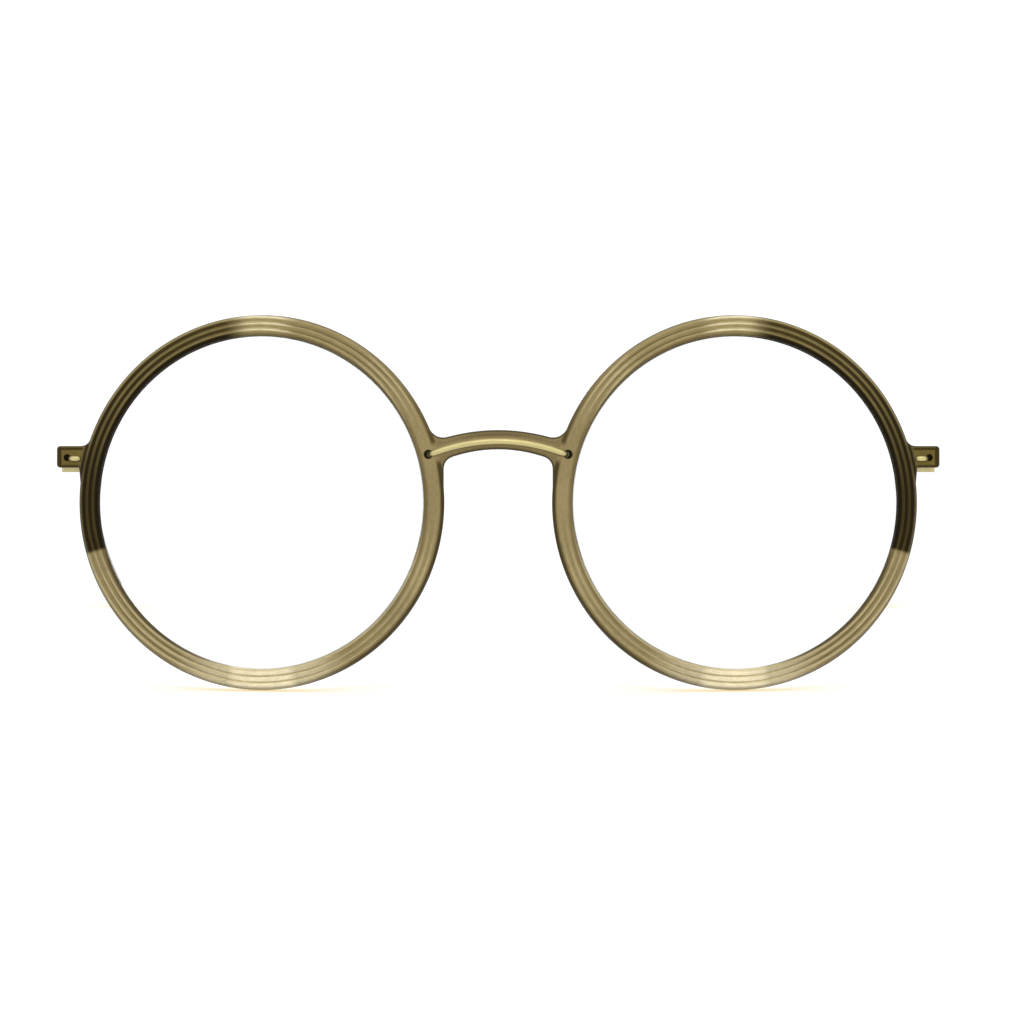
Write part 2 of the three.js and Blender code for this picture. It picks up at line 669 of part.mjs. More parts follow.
for (const side of [RIGHT, LEFT]) {
  const suffix = side === LEFT ? "left" : "right";
  const half = new THREE.Group();
  half.scale.x = side;
  half.add(mesh("lens_" + suffix, lens(), clear));
  half.add(mesh("hinge_staple_" + suffix, formed(roundBar(stapleRoute(LEFT), stapleRadius)), gold));

  const pad = mesh("nose_pad_" + suffix, nosePad(), padStuff);
  pad.rotation.set(0, -PAD_TILT * RADIAN, -PAD_SPLAY * RADIAN, "YXZ");
  pad.position.set(padX, padY + formedDepth(padX, PAD_LEVEL), PAD_LEVEL);
  half.add(pad);

  const hinge = new THREE.Group();
  hinge.position.set(hingeX, hingeY, LUG_LEVEL);
  hinge.add(mesh("front_hinge_leaf_" + suffix, frontLeaf(), gold));
  hinge.add(mesh("hinge_screw_" + suffix, hingeScrew(), steel));
  for (const [place, up] of [["upper", 1], ["lower", -1]]) {
    const washer = mesh("hinge_washer_" + place + "_" + suffix, hingeWasher(), nylon);
    washer.position.z = up * (templeHalf + washerGap / 2);
    hinge.add(washer);
  }
  hinge.add(mesh("temple_hinge_leaf_" + suffix, templeLeaf(), gold));
  hinge.add(mesh("temple_bar_" + suffix, templeBar(), gold));
  hinge.add(mesh("temple_tip_" + suffix, templeTip(), acetate));
  half.add(hinge);
  glasses.add(half);
}

// The lowest point of the pieces whose names start alike, with the frame leaned back
function lowest(start, lean) {
  const tilt = new THREE.Matrix4().makeRotationX(-lean);
  const point = new THREE.Vector3();
  let low = Infinity;
  glasses.traverse((piece) => {
    if (!piece.isMesh || !piece.name.startsWith(start)) return;
    const points = piece.geometry.attributes.position;
    const place = tilt.clone().multiply(piece.matrixWorld);
    for (let i = 0; i < points.count; i++) {
      low = Math.min(low, point.fromBufferAttribute(points, i).applyMatrix4(place).z);
    }
  });
  return low;
}

// The lean at which the rims and the temple tips both touch the table, found by halving
function restingLean() {
  let from = -LEAN_LIMIT * RADIAN;
  let to = LEAN_LIMIT * RADIAN;
  for (let k = 0; k < LEAN_HALVINGS; k++) {
    const lean = (from + to) / 2;
    if (lowest("temple_tip", lean) > lowest("front_frame", lean)) from = lean;
    else to = lean;
  }
  return from;
}

glasses.updateMatrixWorld(true);
glasses.rotation.x = -restingLean();
const box = new THREE.Box3().setFromObject(glasses, true);
const centre = box.getCenter(new THREE.Vector3());
glasses.position.set(-centre.x, -centre.y, -box.min.z);

const part = new THREE.Group();
part.add(glasses);

export default part;
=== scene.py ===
"""Looks of a round reeded eyeglass frame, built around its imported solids. Metres, +Z up, front to -Y."""
import json
import math
from contextlib import contextmanager
from functools import reduce
from typing import NamedTuple

import bmesh
import bpy
from bpy.props import FloatProperty, FloatVectorProperty, IntProperty, PointerProperty
from bpy.types import Operator, Panel, PropertyGroup
from mathutils import Matrix, Vector


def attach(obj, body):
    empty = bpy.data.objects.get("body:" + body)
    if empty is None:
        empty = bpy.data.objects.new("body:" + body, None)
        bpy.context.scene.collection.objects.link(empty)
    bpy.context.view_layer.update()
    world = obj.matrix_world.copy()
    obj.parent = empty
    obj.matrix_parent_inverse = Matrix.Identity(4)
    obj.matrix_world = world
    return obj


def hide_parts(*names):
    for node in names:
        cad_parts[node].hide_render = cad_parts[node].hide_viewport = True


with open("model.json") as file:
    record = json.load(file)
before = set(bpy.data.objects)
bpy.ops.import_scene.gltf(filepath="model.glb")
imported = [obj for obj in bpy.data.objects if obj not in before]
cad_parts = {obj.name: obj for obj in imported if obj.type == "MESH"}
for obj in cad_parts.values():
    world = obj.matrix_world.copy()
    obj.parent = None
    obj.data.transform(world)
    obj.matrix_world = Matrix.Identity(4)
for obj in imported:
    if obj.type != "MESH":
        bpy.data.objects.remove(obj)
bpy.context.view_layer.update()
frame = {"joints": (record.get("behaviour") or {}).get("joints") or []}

bl_info = {
    "name": "Round Eyeglass Frame",
    "version": (1, 0, 0),
    "blender": (4, 5, 0),
    "location": "View3D > Sidebar > Eyeglasses",
    "description": "Models the front, lenses, hinges and temples of a round reeded eyeglass frame",
    "category": "Add Mesh",
}

MM = 0.001
WELD = 1e-6
FLAT = 1e-6
SIDES = {"left": 1, "right": -1}
FRONT_BODIES = ("front", "front")
TEMPLE_BODIES = ("temple_right", "temple_left")

# Fineness of round forms: faces around them, along them, and across a rounded edge
DRUM_SIDES, PAD_SIDES, TEMPLE_SIDES = 48, 64, 32
ARCH_STEPS, BEND_STEPS, WIRE_STEPS, OUTLINE_STEPS = 48, 10, 6, 12
PLATE_EDGE_STEPS, RIM_EDGE_STEPS, SHOULDER_STEPS, PAD_EDGE_STEPS, LEAF_END_STEPS = 4, 5, 3, 6, 6
HINGE_EDGE_STEPS = 2
SMOOTH_ANGLE, SHARP_ANGLE = math.radians(40), math.radians(35)

# The two edges and the crest of a lens bevel, or of the rim's groove for it
BEVEL_CUTS = 3

# How far a cubic curve's handles lie towards the control point of the same quadratic curve
HANDLE_PART = 2 / 3

# Sections of the temples, where 1 is an ellipse and 0 a box, and the rounding of the temple leaf's end
BAR_ROUNDNESS, TIP_ROUNDNESS = 0.4, 0.62
LEAF_END_PART = 0.9

# The left hinge gives the frame's lean on the table and the place of everything else
HINGE = next(joint for joint in frame["joints"] if joint["name"] == "temple_left_fold")
HINGE_PLACE = Vector(HINGE["pos_m"])
LEAN = math.atan2(HINGE["axis"][1], HINGE["axis"][2])
LEAN_TURN = Matrix.Rotation(-LEAN, 4, "X")


def length(name, millimetres, description):
    return FloatProperty(
        name=name, description=description, default=millimetres * MM, unit="LENGTH", precision=5)


def share(name, default, description):
    return FloatProperty(
        name=name, description=description, default=default, min=0, max=1, subtype="FACTOR")


def turn(name, degrees, description):
    return FloatProperty(
        name=name, description=description, default=math.radians(degrees), subtype="ANGLE")


def colour(name, red, green, blue, description):
    """A colour property, its default written as 8-bit sRGB"""
    def linear(byte):
        part = byte / 255
        return part / 12.92 if part <= 0.04045 else ((part + 0.055) / 1.055) ** 2.4
    return FloatVectorProperty(
        name=name, description=description, size=3, subtype="COLOR", min=0, max=1,
        default=(linear(red), linear(green), linear(blue)))


class FrontSizes(PropertyGroup):
    lens_width: length("Lens width", 51, "Width of the lens at its bevel")
    lens_height: length("Lens height", 52.3, "Height of the lens at its bevel")
    lens_gap: length("Lens gap", 22, "Distance between the two lenses")
    lens_thickness: length("Lens thickness", 1.8, "Thickness of the lens at its edge")
    lens_bevel: length("Lens bevel", 0.5, "Depth of the bevel that sits in the rim's groove")
    lens_play: length("Lens play", 0.03, "Gap between the lens and its rim")
    lens_rings: IntProperty(name="Lens rings", description="Rings across a lens face", default=10, min=2)
    rim_width: length("Rim width", 3.2, "Width of a rim seen from the front")
    rim_depth: length("Rim depth", 3.6, "Depth of a rim from the beads to the back")
    rim_edge: length("Rim edge", 0.5, "Rounding of the rim's back edges")
    rim_steps: IntProperty(name="Rim steps", description="Faces around a rim", default=192, min=32)
    bead_count: IntProperty(name="Beads", description="Half-round beads across a rim", default=3, min=1)
    bead_height: length("Bead height", 0.45, "How far the beads stand proud")
    groove_floor: share("Groove floor", 0.55, "Height of the grooves between the beads, of the bead height")
    bead_steps: IntProperty(name="Bead steps", description="Faces across one bead", default=14, min=4)
    rim_shoulder: length("Rim shoulder", 0.22, "Plain rounded edge beside the beads")
    plain_angle: turn("Plain angle", 10, "Middle of the plain stretch beside the nose, above the level")
    plain_half: turn("Plain half", 12, "Half the stretch without beads")
    plain_fade: turn("Plain fade", 34, "Turn over which the beads grow to their full height")
    plain_crown: length("Plain crown", 0.2, "How far the plain stretch is crowned")
    base_radius: length("Base radius", 300, "Radius of the curve that the front is formed to")
    bridge_crest: length("Bridge crest", 11.2, "Top of the bridge above the lens centres")
    bridge_height: length("Bridge height", 3.0, "Height of the bridge bar")
    bridge_sag: length("Bridge sag", 1.1, "Rise of the bridge's arch")
    bridge_top_fillet: length("Bridge top fillet", 2.1, "Fillet between the rim and the bridge's top")
    bridge_top_dip: length("Bridge top dip", 0.35, "How far the top fillet dips below the arch's end")
    bridge_low_fillet: length("Bridge lower fillet", 1.5, "Fillet under the bridge")
    bridge_low_reach: length("Bridge lower reach", 4.8, "How far the lower fillet runs down the rim")
    bridge_edge: length("Bridge edge", 0.6, "Rounding of the bridge's edges")
    bridge_proud: length("Bridge proud", 0.03, "How far the bridge's face stands proud of the rims' ground")
    lug_length: length("Lug length", 4.35, "How far an end lug stands out of its rim")
    lug_height: length("Lug height", 3.2, "Height of an end lug")
    lug_level: length("Lug level", 7, "Middle of the lug above the lens centres")
    lug_rise: length("Lug rise", 0.15, "Top of the lug above its even height")
    lug_corner: length("Lug corner", 0.6, "Rounding of the lug's outer corners")
    lug_fillet: length("Lug fillet", 1.2, "Fillet between the rim and the lug's top")
    lug_edge: length("Lug edge", 0.4, "Rounding of the lug's edges")
    lug_gusset: length("Lug gusset", 0.55, "How far the gusset under the lug stands out of the rim")
    lug_gusset_reach: length("Gusset reach", 2.4, "How far the gusset runs down the rim")
    lug_hole: length("Lug hole", 1.1, "Diameter of the hole that the staple comes out of")
    lug_hole_inset: length("Lug hole inset", 1.6, "Hole centre from the lug's end")
    lug_hole_level: length("Lug hole level", 6.95, "Hole above the lens centres")
    lug_hole_depth: length("Lug hole depth", 1.6, "Depth of the hole")


class WireSizes(PropertyGroup):
    diameter: length("Wire diameter", 0.88, "Diameter of the bridge wire")
    hole: length("Wire hole", 1.45, "Diameter of the holes that the wire goes into")
    hole_inset: length("Hole inset", 1.75, "Hole centre outside the lens opening")
    hole_level: length("Hole level", 7.44, "Holes above the lens centres")
    hole_depth: length("Hole depth", 2.2, "Depth of the holes from the bead tops")
    offset: length("Wire offset", 0.31, "Wire's leg from the hole's centre towards the nose")
    crest: length("Wire crest", 9.46, "Top of the wire's arch above the lens centres")
    sink: length("Wire sink", 0.2, "How deep the wire lies in its channel")
    bend: length("Wire bend", 1.1, "Reach of the wire's bends")
    channel_play: length("Channel play", 0.02, "Gap between a wire and its channel")
    pad_length: length("Pad length", 13, "Length of a nose pad")
    pad_width: length("Pad width", 4.4, "Width of a nose pad")
    pad_thickness: length("Pad thickness", 2, "Thickness of a nose pad")
    pad_edge: length("Pad edge", 0.8, "Rounding of a nose pad's edge")
    pad_level: length("Pad level", -2.5, "Middle of a pad above the lens centres")
    pad_setback: length("Pad setback", 3, "Middle of a pad behind the rim's back")
    pad_peek: length("Pad peek", -0.1, "How far a pad shows past the rim")
    pad_splay: turn("Pad splay", 20, "Turn of a pad about the upright")
    pad_tilt: turn("Pad tilt", 6, "Lean of a pad's top towards the middle")
    arm_depth: length("Arm depth", 5.5, "How deep the wire goes into a pad")


class HingeSizes(PropertyGroup):
    inset: length("Hinge inset", 2.4, "Hinge axis from the lug's end")
    barrel: length("Barrel diameter", 2.8, "Diameter of the hinge barrels")
    front_barrel: length("Front barrel", 0.75, "Height of each front barrel")
    temple_barrel: length("Temple barrel", 1.1, "Height of the temple barrel")
    washer: length("Washer", 0.2, "Thickness of a washer")
    play: length("Hinge play", 0.05, "Gap between parts that turn on each other")
    leaf: length("Leaf thickness", 0.9, "Thickness of the front leaf")
    leaf_seat: length("Leaf seat", 0.1, "Gap between the lug and the front leaf")
    leaf_peek: length("Leaf peek", 0.7, "How far the front leaf shows below the lug")
    leaf_inset: length("Leaf inset", 0.7, "Leaf's outer edge from the lug's end")
    leaf_margin: length("Leaf margin", 0.3, "Leaf beside the staple's legs")
    neck: length("Neck width", 1.7, "Width of the necks that carry the barrels")
    clearance: length("Barrel clearance", 0.15, "Gap between the barrels and the leaf")
    screw: length("Screw diameter", 1.2, "Diameter of the hinge screw")
    screw_head: length("Screw head", 1.9, "Diameter of the screw's head")
    screw_head_height: length("Head height", 0.45, "Height of the screw's head")
    slot_width: length("Slot width", 0.35, "Width of the screw's slot")
    slot_depth: length("Slot depth", 0.25, "Depth of the screw's slot")
    screw_play: length("Screw play", 0.09, "Gap between the screw and its bores")
    staple: length("Staple diameter", 0.8, "Diameter of the staple that holds the front leaf")
    staple_level: length("Staple level", 6.8, "Staple above the lens centres")
    staple_inset: length("Staple inset", 2.15, "Outer staple leg from the lug's end")
    staple_span: length("Staple span", 1.3, "Distance between the staple's legs")
    staple_bend: length("Staple bend", 0.6, "Reach of the staple's bends")
    temple_leaf: length("Temple leaf", 0.7, "Thickness of the temple leaf")
    temple_leaf_length: length("Temple leaf length", 9, "Length of the temple leaf")
    temple_leaf_height: length("Temple leaf height", 2.2, "Height of the temple leaf")
    edge: length("Hinge edge", 0.07, "Rounding of the hinge's edges")


class TempleSizes(PropertyGroup):
    length: length("Temple length", 140, "Length of a temple from its hinge")
    to_bend: length("Length to bend", 98, "Length from the hinge to the ear bend")
    drop: turn("Temple drop", 45, "Turn of the ear bend")
    bend_radius: length("Bend radius", 26, "Radius of the ear bend")
    toe_in: length("Toe in", 1.6, "Inward step behind the hinge")
    toe_length: length("Toe length", 44, "Length over which the temple steps in")
    tip_inset: length("Tip inset", 4.2, "Inward curl of the tip's end")
    curl_start: length("Curl start", 118, "Length at which the tip starts to curl in")
    bar_thickness: length("Bar thickness", 1.4, "Thickness of the metal bar")
    bar_height: length("Bar height", 2.8, "Height of the metal bar")
    bar_setback: length("Bar setback", 0.35, "Bar's start behind the barrels")
    bar_neck: length("Bar neck", 8, "Length over which the bar narrows to its core")
    core_thickness: length("Core thickness", 1, "Thickness of the core inside the tip")
    core_height: length("Core height", 1.6, "Height of the core inside the tip")
    core_stop: length("Core stop", 12, "Core's end before the tip's end")
    tip_length: length("Tip length", 66, "Length of the tip")
    tip_thickness: length("Tip thickness", 2.4, "Thickness of the tip")
    tip_height: length("Tip height", 3.8, "Height of the tip at its mouth")
    tip_end_height: length("Tip end height", 5, "Height of the tip near its end")
    tip_lip: length("Tip lip", 1.2, "Length of the rounded mouth")
    tip_mouth: share("Tip mouth", 0.85, "Size of the mouth against the tip")
    steps: IntProperty(name="Temple steps", description="Rings along a bar or tip", default=96, min=16)


class Finishes(PropertyGroup):
    khaki: colour("Khaki", 140, 125, 85, "Acetate of the front and the tips")
    # Painted highlight: pale lines along the bead flanks that face the light
    khaki_highlight_line: colour("Khaki line", 192, 178, 136, "Reed lines in the khaki")
    nasal: colour("Nasal khaki", 146, 130, 90, "Acetate beside the nose")
    # Painted highlight: a broad cream glow on the lower rims, crossed by darker painted shade lines
    cream: colour("Cream", 240, 227, 190, "Acetate of the lower rims")
    low_shade_line: colour("Cream line", 190, 175, 132, "Grooves in the lower rims")
    # Painted highlight: the brightest lines, at the top of the rims
    top_highlight_line: colour("Top line", 242, 231, 196, "Reed lines at the top of the rims")
    # Painted highlight: dimmer lines between the top and the nose side
    upper_highlight_line: colour("Upper line", 152, 138, 96, "Reed lines between the top and the nose side")
    # Painted highlight: a lighter ground between the lines at the top of the rims
    top_highlight_ground: colour("Top ground", 164, 147, 98, "Acetate between the lines at the top of the rims")
    # Painted shade in the grooves between the beads
    groove: colour("Groove", 92, 78, 40, "Grooves in the khaki")
    # The upper outer rims are painted darker, lighter towards the top; at the lens this is painted shade on
    # the inner bead, and the tips' specks take the same colour
    dark_zone: colour("Smoke", 12, 7, 1, "Dark acetate of the upper outer rims, at the lens")
    dark_zone_upper: colour("Smoke ground", 58, 46, 19, "Dark acetate of the upper outer rims, towards the top")
    dark_zone_lower: colour("Low smoke", 22, 15, 3, "Dark acetate of the upper outer rims, beside the lug")
    # Painted highlight lines on the darker upper outer rims
    dark_zone_highlight_line: colour("Smoke line", 142, 128, 82, "Reed lines in the smoke, towards the top")
    dark_zone_low_highlight_line: colour("Low smoke line", 80, 68, 34, "Reed lines in the smoke, beside the lug")
    # Painted shade on the edges, corners and borders of the front
    edge: colour("Edge", 44, 32, 4, "Acetate of the edges")
    lug: colour("Lug", 106, 92, 46, "Acetate of the end lugs")
    wire: colour("Wire gold", 224, 212, 154, "Polished gold of the wire and the staples")
    # Painted shade where the wire sinks into the bridge
    wire_shade: colour("Wire shade", 112, 96, 42, "Gold where the wire sinks into the bridge")
    bar: colour("Bar gold", 206, 192, 146, "Brushed gold of the bars and hinges")
    # Painted shade on the rims' outer edge on this side, away from the light
    shade_side: turn("Dark side", 200, "Side of the rims whose outer edge is dark, above the temple side")
    # The painted highlight lines: the side of the light that they lean to, their shift off the bead tops,
    # and their width
    light_side: turn("Line side", 40, "Side of the rims that the reed lines turn to, above the temple side")
    highlight_shift: share("Line shift", 0.5, "How far the reed lines lie off the bead tops, in beads")
    line_width: share("Line width", 0.32, "Half width of a reed line, in beads")
    steel: colour("Screw", 200, 194, 178, "Plated steel of the screws")
    nylon: colour("Nylon", 232, 228, 214, "Nylon of the washers")
    pad: colour("Pad", 196, 184, 150, "Silicone of the nose pads")
    # Where the darker upper outer rims stop below the lug and fade towards the top
    dark_zone_end: turn("Smoke end", -16.3, "Where the smoke stops below the lug, about the rim's centre")
    dark_zone_top: turn("Smoke top", 87, "Where the smoke has faded towards the top, about the rim's centre")
    dark_zone_fade: turn("Smoke fade", 10, "Turn over which the smoke fades")


class StageSizes(PropertyGroup):
    distance: length("Camera distance", 3000, "Camera in front of the lens centres")
    view_width: length("View width", 157.9, "Width that the picture shows at the lens centres")
    aim_right: length("Aim right", 2.13, "Picture's middle right of the lens centres")
    aim_down: length("Aim down", 1.45, "Picture's middle below the lens centres")
    floor: length("Floor", 12000, "Side of the floor")
    surround: FloatProperty(name="Surround", description="Strength of the white surroundings", default=0.75)
    key: FloatProperty(name="Key", description="Strength of each lamp from above", default=0.85)
    key_spread: turn("Key spread", 14, "Width of the lamps in the sky")
    fill: FloatProperty(name="Fill", description="Strength of the lamp from the front", default=0.6)


def settings(name):
    return getattr(bpy.context.scene, "eyeglass_" + name)


# Places that follow from the sizes

def open_half():
    """Half the lens opening's width and height"""
    front = settings("front")
    return front.lens_width / 2 - front.lens_bevel, front.lens_height / 2 - front.lens_bevel


def rim_x():
    front = settings("front")
    return (front.lens_width + front.lens_gap) / 2


def nasal_x(z, offset):
    """The rim's point at a height on the nose side, an offset outside the lens opening"""
    wide, high = open_half()
    return rim_x() - (wide + offset) * math.sqrt(1 - (z / (high + offset)) ** 2)


def temporal_x(z, offset):
    return 2 * rim_x() - nasal_x(z, offset)


def face_front():
    """Depth of the ground between the beads"""
    front = settings("front")
    return front.bead_height - front.rim_depth / 2


def rim_back():
    return settings("front").rim_depth / 2


def bead_width():
    front = settings("front")
    return (front.rim_width - 2 * front.rim_shoulder) / front.bead_count


def lug_heights():
    """The lug's foot and top above the lens centres"""
    front = settings("front")
    return (front.lug_level - front.lug_height / 2,
            front.lug_level + front.lug_height / 2 + front.lug_rise)


def wire_leg():
    """Where the wire goes through a rim, from the middle of the bridge"""
    wire = settings("wire")
    return nasal_x(wire.hole_level, wire.hole_inset) - wire.offset


def formed_depth(x, z):
    return (x * x + z * z) / (2 * settings("front").base_radius)


def lug_end():
    front = settings("front")
    return temporal_x(front.lug_level, front.rim_width) + front.lug_length


def hinge_local():
    """The left hinge's middle in the flat front's own axes"""
    front, hinge = settings("front"), settings("hinge")
    x, z = lug_end() - hinge.inset, front.lug_level
    y = leaf_back() + hinge.clearance + hinge.barrel / 2 + formed_depth(x, z)
    return Vector((x, y, z))


def bar_start():
    """Where a temple bar starts behind its hinge"""
    return settings("hinge").barrel / 2 + settings("temple").bar_setback


def leaf_back():
    hinge = settings("hinge")
    return rim_back() + hinge.leaf_seat + hinge.leaf


def front_place():
    """From the front's own axes to the row frame"""
    return Matrix.Translation(HINGE_PLACE) @ LEAN_TURN @ Matrix.Translation(-hinge_local())


def hinge_place():
    return Matrix.Translation(HINGE_PLACE) @ LEAN_TURN


# Modelling steps

def only(piece):
    bpy.ops.object.select_all(action="DESELECT")
    piece.select_set(True)
    bpy.context.view_layer.objects.active = piece


def added(add, name, **sizes):
    """Adds one primitive with nothing else selected"""
    bpy.ops.object.select_all(action="DESELECT")
    add(**sizes)
    piece = bpy.context.object
    piece.name = name
    return piece


@contextmanager
def editing(piece):
    only(piece)
    bpy.ops.object.mode_set(mode="EDIT")
    bpy.ops.mesh.select_all(action="SELECT")
    yield
    bpy.ops.object.mode_set(mode="OBJECT")


def pick(piece, kind, test):
    """In edit mode, selects only the vertices, edges or faces whose middle passes the test"""
    bpy.ops.mesh.select_mode(type=kind)
    bpy.ops.mesh.select_all(action="DESELECT")
    mesh = bmesh.from_edit_mesh(piece.data)
    parts = {"VERT": mesh.verts, "EDGE": mesh.edges, "FACE": mesh.faces}[kind]
    for part in parts:
        corners = [part] if kind == "VERT" else part.verts
        middle = sum((corner.co for corner in corners), Vector()) / len(corners)
        part.select_set(test(middle))
    mesh.select_flush_mode()
    bmesh.update_edit_mesh(piece.data)


def closed(piece):
    """Merges doubles, turns all faces outwards, and makes sure that no edge is left open"""
    with editing(piece):
        bpy.ops.mesh.remove_doubles(threshold=WELD)
        bpy.ops.mesh.normals_make_consistent(inside=False)
        bpy.ops.mesh.select_mode(type="EDGE")
        bpy.ops.mesh.select_all(action="DESELECT")
        bpy.ops.mesh.select_non_manifold()
    if any(edge.select for edge in piece.data.edges):
        raise ValueError(piece.name + " is not closed")


def reshaped(piece, rule):
    """Moves each vertex to where the rule says"""
    for vertex in piece.data.vertices:
        vertex.co = rule(vertex.co.copy())
    piece.data.update()


def applied(piece, kind, **values):
    """Adds a modifier with these values and applies it"""
    only(piece)
    modifier = piece.modifiers.new(kind.lower(), kind)
    for name, value in values.items():
        setattr(modifier, name, value)
    bpy.ops.object.modifier_apply(modifier=modifier.name)


def combined(piece, others, operation):
    """Joins the others to the piece, or cuts them from it, and removes them"""
    for other in others:
        applied(piece, "BOOLEAN", operation=operation, solver="MANIFOLD", object=other)
        bpy.data.objects.remove(other)
    return piece


def placed(piece, matrix):
    """Moves a piece by a matrix, its object left at the origin"""
    only(piece)
    piece.matrix_world = matrix @ piece.matrix_world
    bpy.ops.object.transform_apply(location=True, rotation=True, scale=True)
    return piece


def smooth(piece):
    only(piece)
    bpy.ops.object.shade_smooth_by_angle(angle=SMOOTH_ANGLE)


def softened(piece, width):
    applied(
        piece, "BEVEL", width=width, segments=HINGE_EDGE_STEPS, limit_method="ANGLE",
        angle_limit=SHARP_ANGLE)


def mirrored(piece, name):
    """A copy on the other side, with its own mesh, faces outwards"""
    only(piece)
    bpy.ops.object.duplicate()
    copy = bpy.context.object
    copy.name = name
    copy.data.name = name
    copy.scale.x = -1
    bpy.ops.object.transform_apply(location=False, rotation=False, scale=True)
    closed(copy)
    return copy


def finished(piece, finish, body, node):
    """Gives a piece its material and puts it in its CAD node's stead"""
    piece.data.materials.clear()
    piece.data.materials.append(finish)
    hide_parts(node)
    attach(piece, body)


def pair(piece, finish, bodies, node):
    """Finishes the left piece and its mirrored right one"""
    for side, body in zip(("right", "left"), bodies):
        one = piece if side == "left" else mirrored(piece, node + "_right_dressed")
        one.name = node + "_" + side + "_dressed"
        smooth(one)
        finished(one, finish, body, node + "_" + side)


def block(name, x0, x1, y0, y1, z0, z1):
    """A box between two corners, from a cube"""
    piece = added(bpy.ops.mesh.primitive_cube_add, name, size=1)
    piece.scale = (x1 - x0, y1 - y0, z1 - z0)
    piece.location = ((x0 + x1) / 2, (y0 + y1) / 2, (z0 + z1) / 2)
    bpy.ops.object.transform_apply(location=True, rotation=True, scale=True)
    return piece


def drum(name, radius, low, high):
    """A cylinder about the upright axis between two heights"""
    return placed(
        added(
            bpy.ops.mesh.primitive_cylinder_add, name,
            vertices=DRUM_SIDES, radius=radius, depth=high - low, location=(0, 0, (low + high) / 2)),
        Matrix.Identity(4))


def flat_plate(name, outline, front, back, edge):
    """A plate with rounded edges from one depth to another.
    Each outline entry is a point in x and height, and the control point of the curve that leads to it,
    if any."""
    piece = added(bpy.ops.curve.primitive_bezier_curve_add, name)
    curve = piece.data
    curve.dimensions = "2D"
    curve.fill_mode = "BOTH"
    curve.extrude = (back - front) / 2 - edge
    curve.bevel_depth = edge
    curve.bevel_resolution = PLATE_EDGE_STEPS
    curve.offset = -edge
    curve.resolution_u = OUTLINE_STEPS
    spline = curve.splines[0]
    spline.bezier_points.add(len(outline) - len(spline.bezier_points))
    spline.use_cyclic_u = True
    for point in spline.bezier_points:
        point.handle_left_type = "FREE"
        point.handle_right_type = "FREE"
    for i, (place, control) in enumerate(outline):
        before, here = spline.bezier_points[i - 1], spline.bezier_points[i]
        start, end = Vector(outline[i - 1][0]), Vector(place)
        bend = (start + end) / 2 if control is None else Vector(control)
        here.co = end.to_3d()
        before.handle_right = start.lerp(bend, HANDLE_PART).to_3d()
        here.handle_left = end.lerp(bend, HANDLE_PART).to_3d()
    bpy.ops.object.convert(target="MESH")
    placed(piece, Matrix.Translation((0, (front + back) / 2, 0)) @ Matrix.Rotation(math.pi / 2, 4, "X"))
    closed(piece)
    return piece


def round_bar(name, route, radius):
    """A round wire along a route of points"""
    piece = added(bpy.ops.curve.primitive_nurbs_path_add, name)
    curve = piece.data
    curve.splines.clear()
    spline = curve.splines.new("POLY")
    spline.points.add(len(route) - 1)
    for point, place in zip(spline.points, route):
        point.co = (*place, 1)
    curve.dimensions = "3D"
    curve.twist_mode = "MINIMUM"
    curve.bevel_depth = radius
    curve.bevel_resolution = WIRE_STEPS
    curve.use_fill_caps = True
    bpy.ops.object.convert(target="MESH")
    placed(piece, Matrix.Identity(4))
    closed(piece)
    return piece


def eased(start, end, part):
    """From start to end with a smooth start and stop"""
    part = min(max(part, 0), 1)
    return start + (end - start) * part * part * (3 - 2 * part)


def eased_route(corners, reach):
    """A route through corner points, each inner corner eased by a bend that starts a reach before it"""
    route = [corners[0]]
    for before, corner, after in zip(corners, corners[1:], corners[2:]):
        start = corner + (before - corner).normalized() * reach
        end = corner + (after - corner).normalized() * reach
        for k in range(BEND_STEPS + 1):
            t = k / BEND_STEPS
            route.append(start * (1 - t) ** 2 + corner * (2 * t * (1 - t)) + end * t ** 2)
    route.append(corners[-1])
    return route


# Front

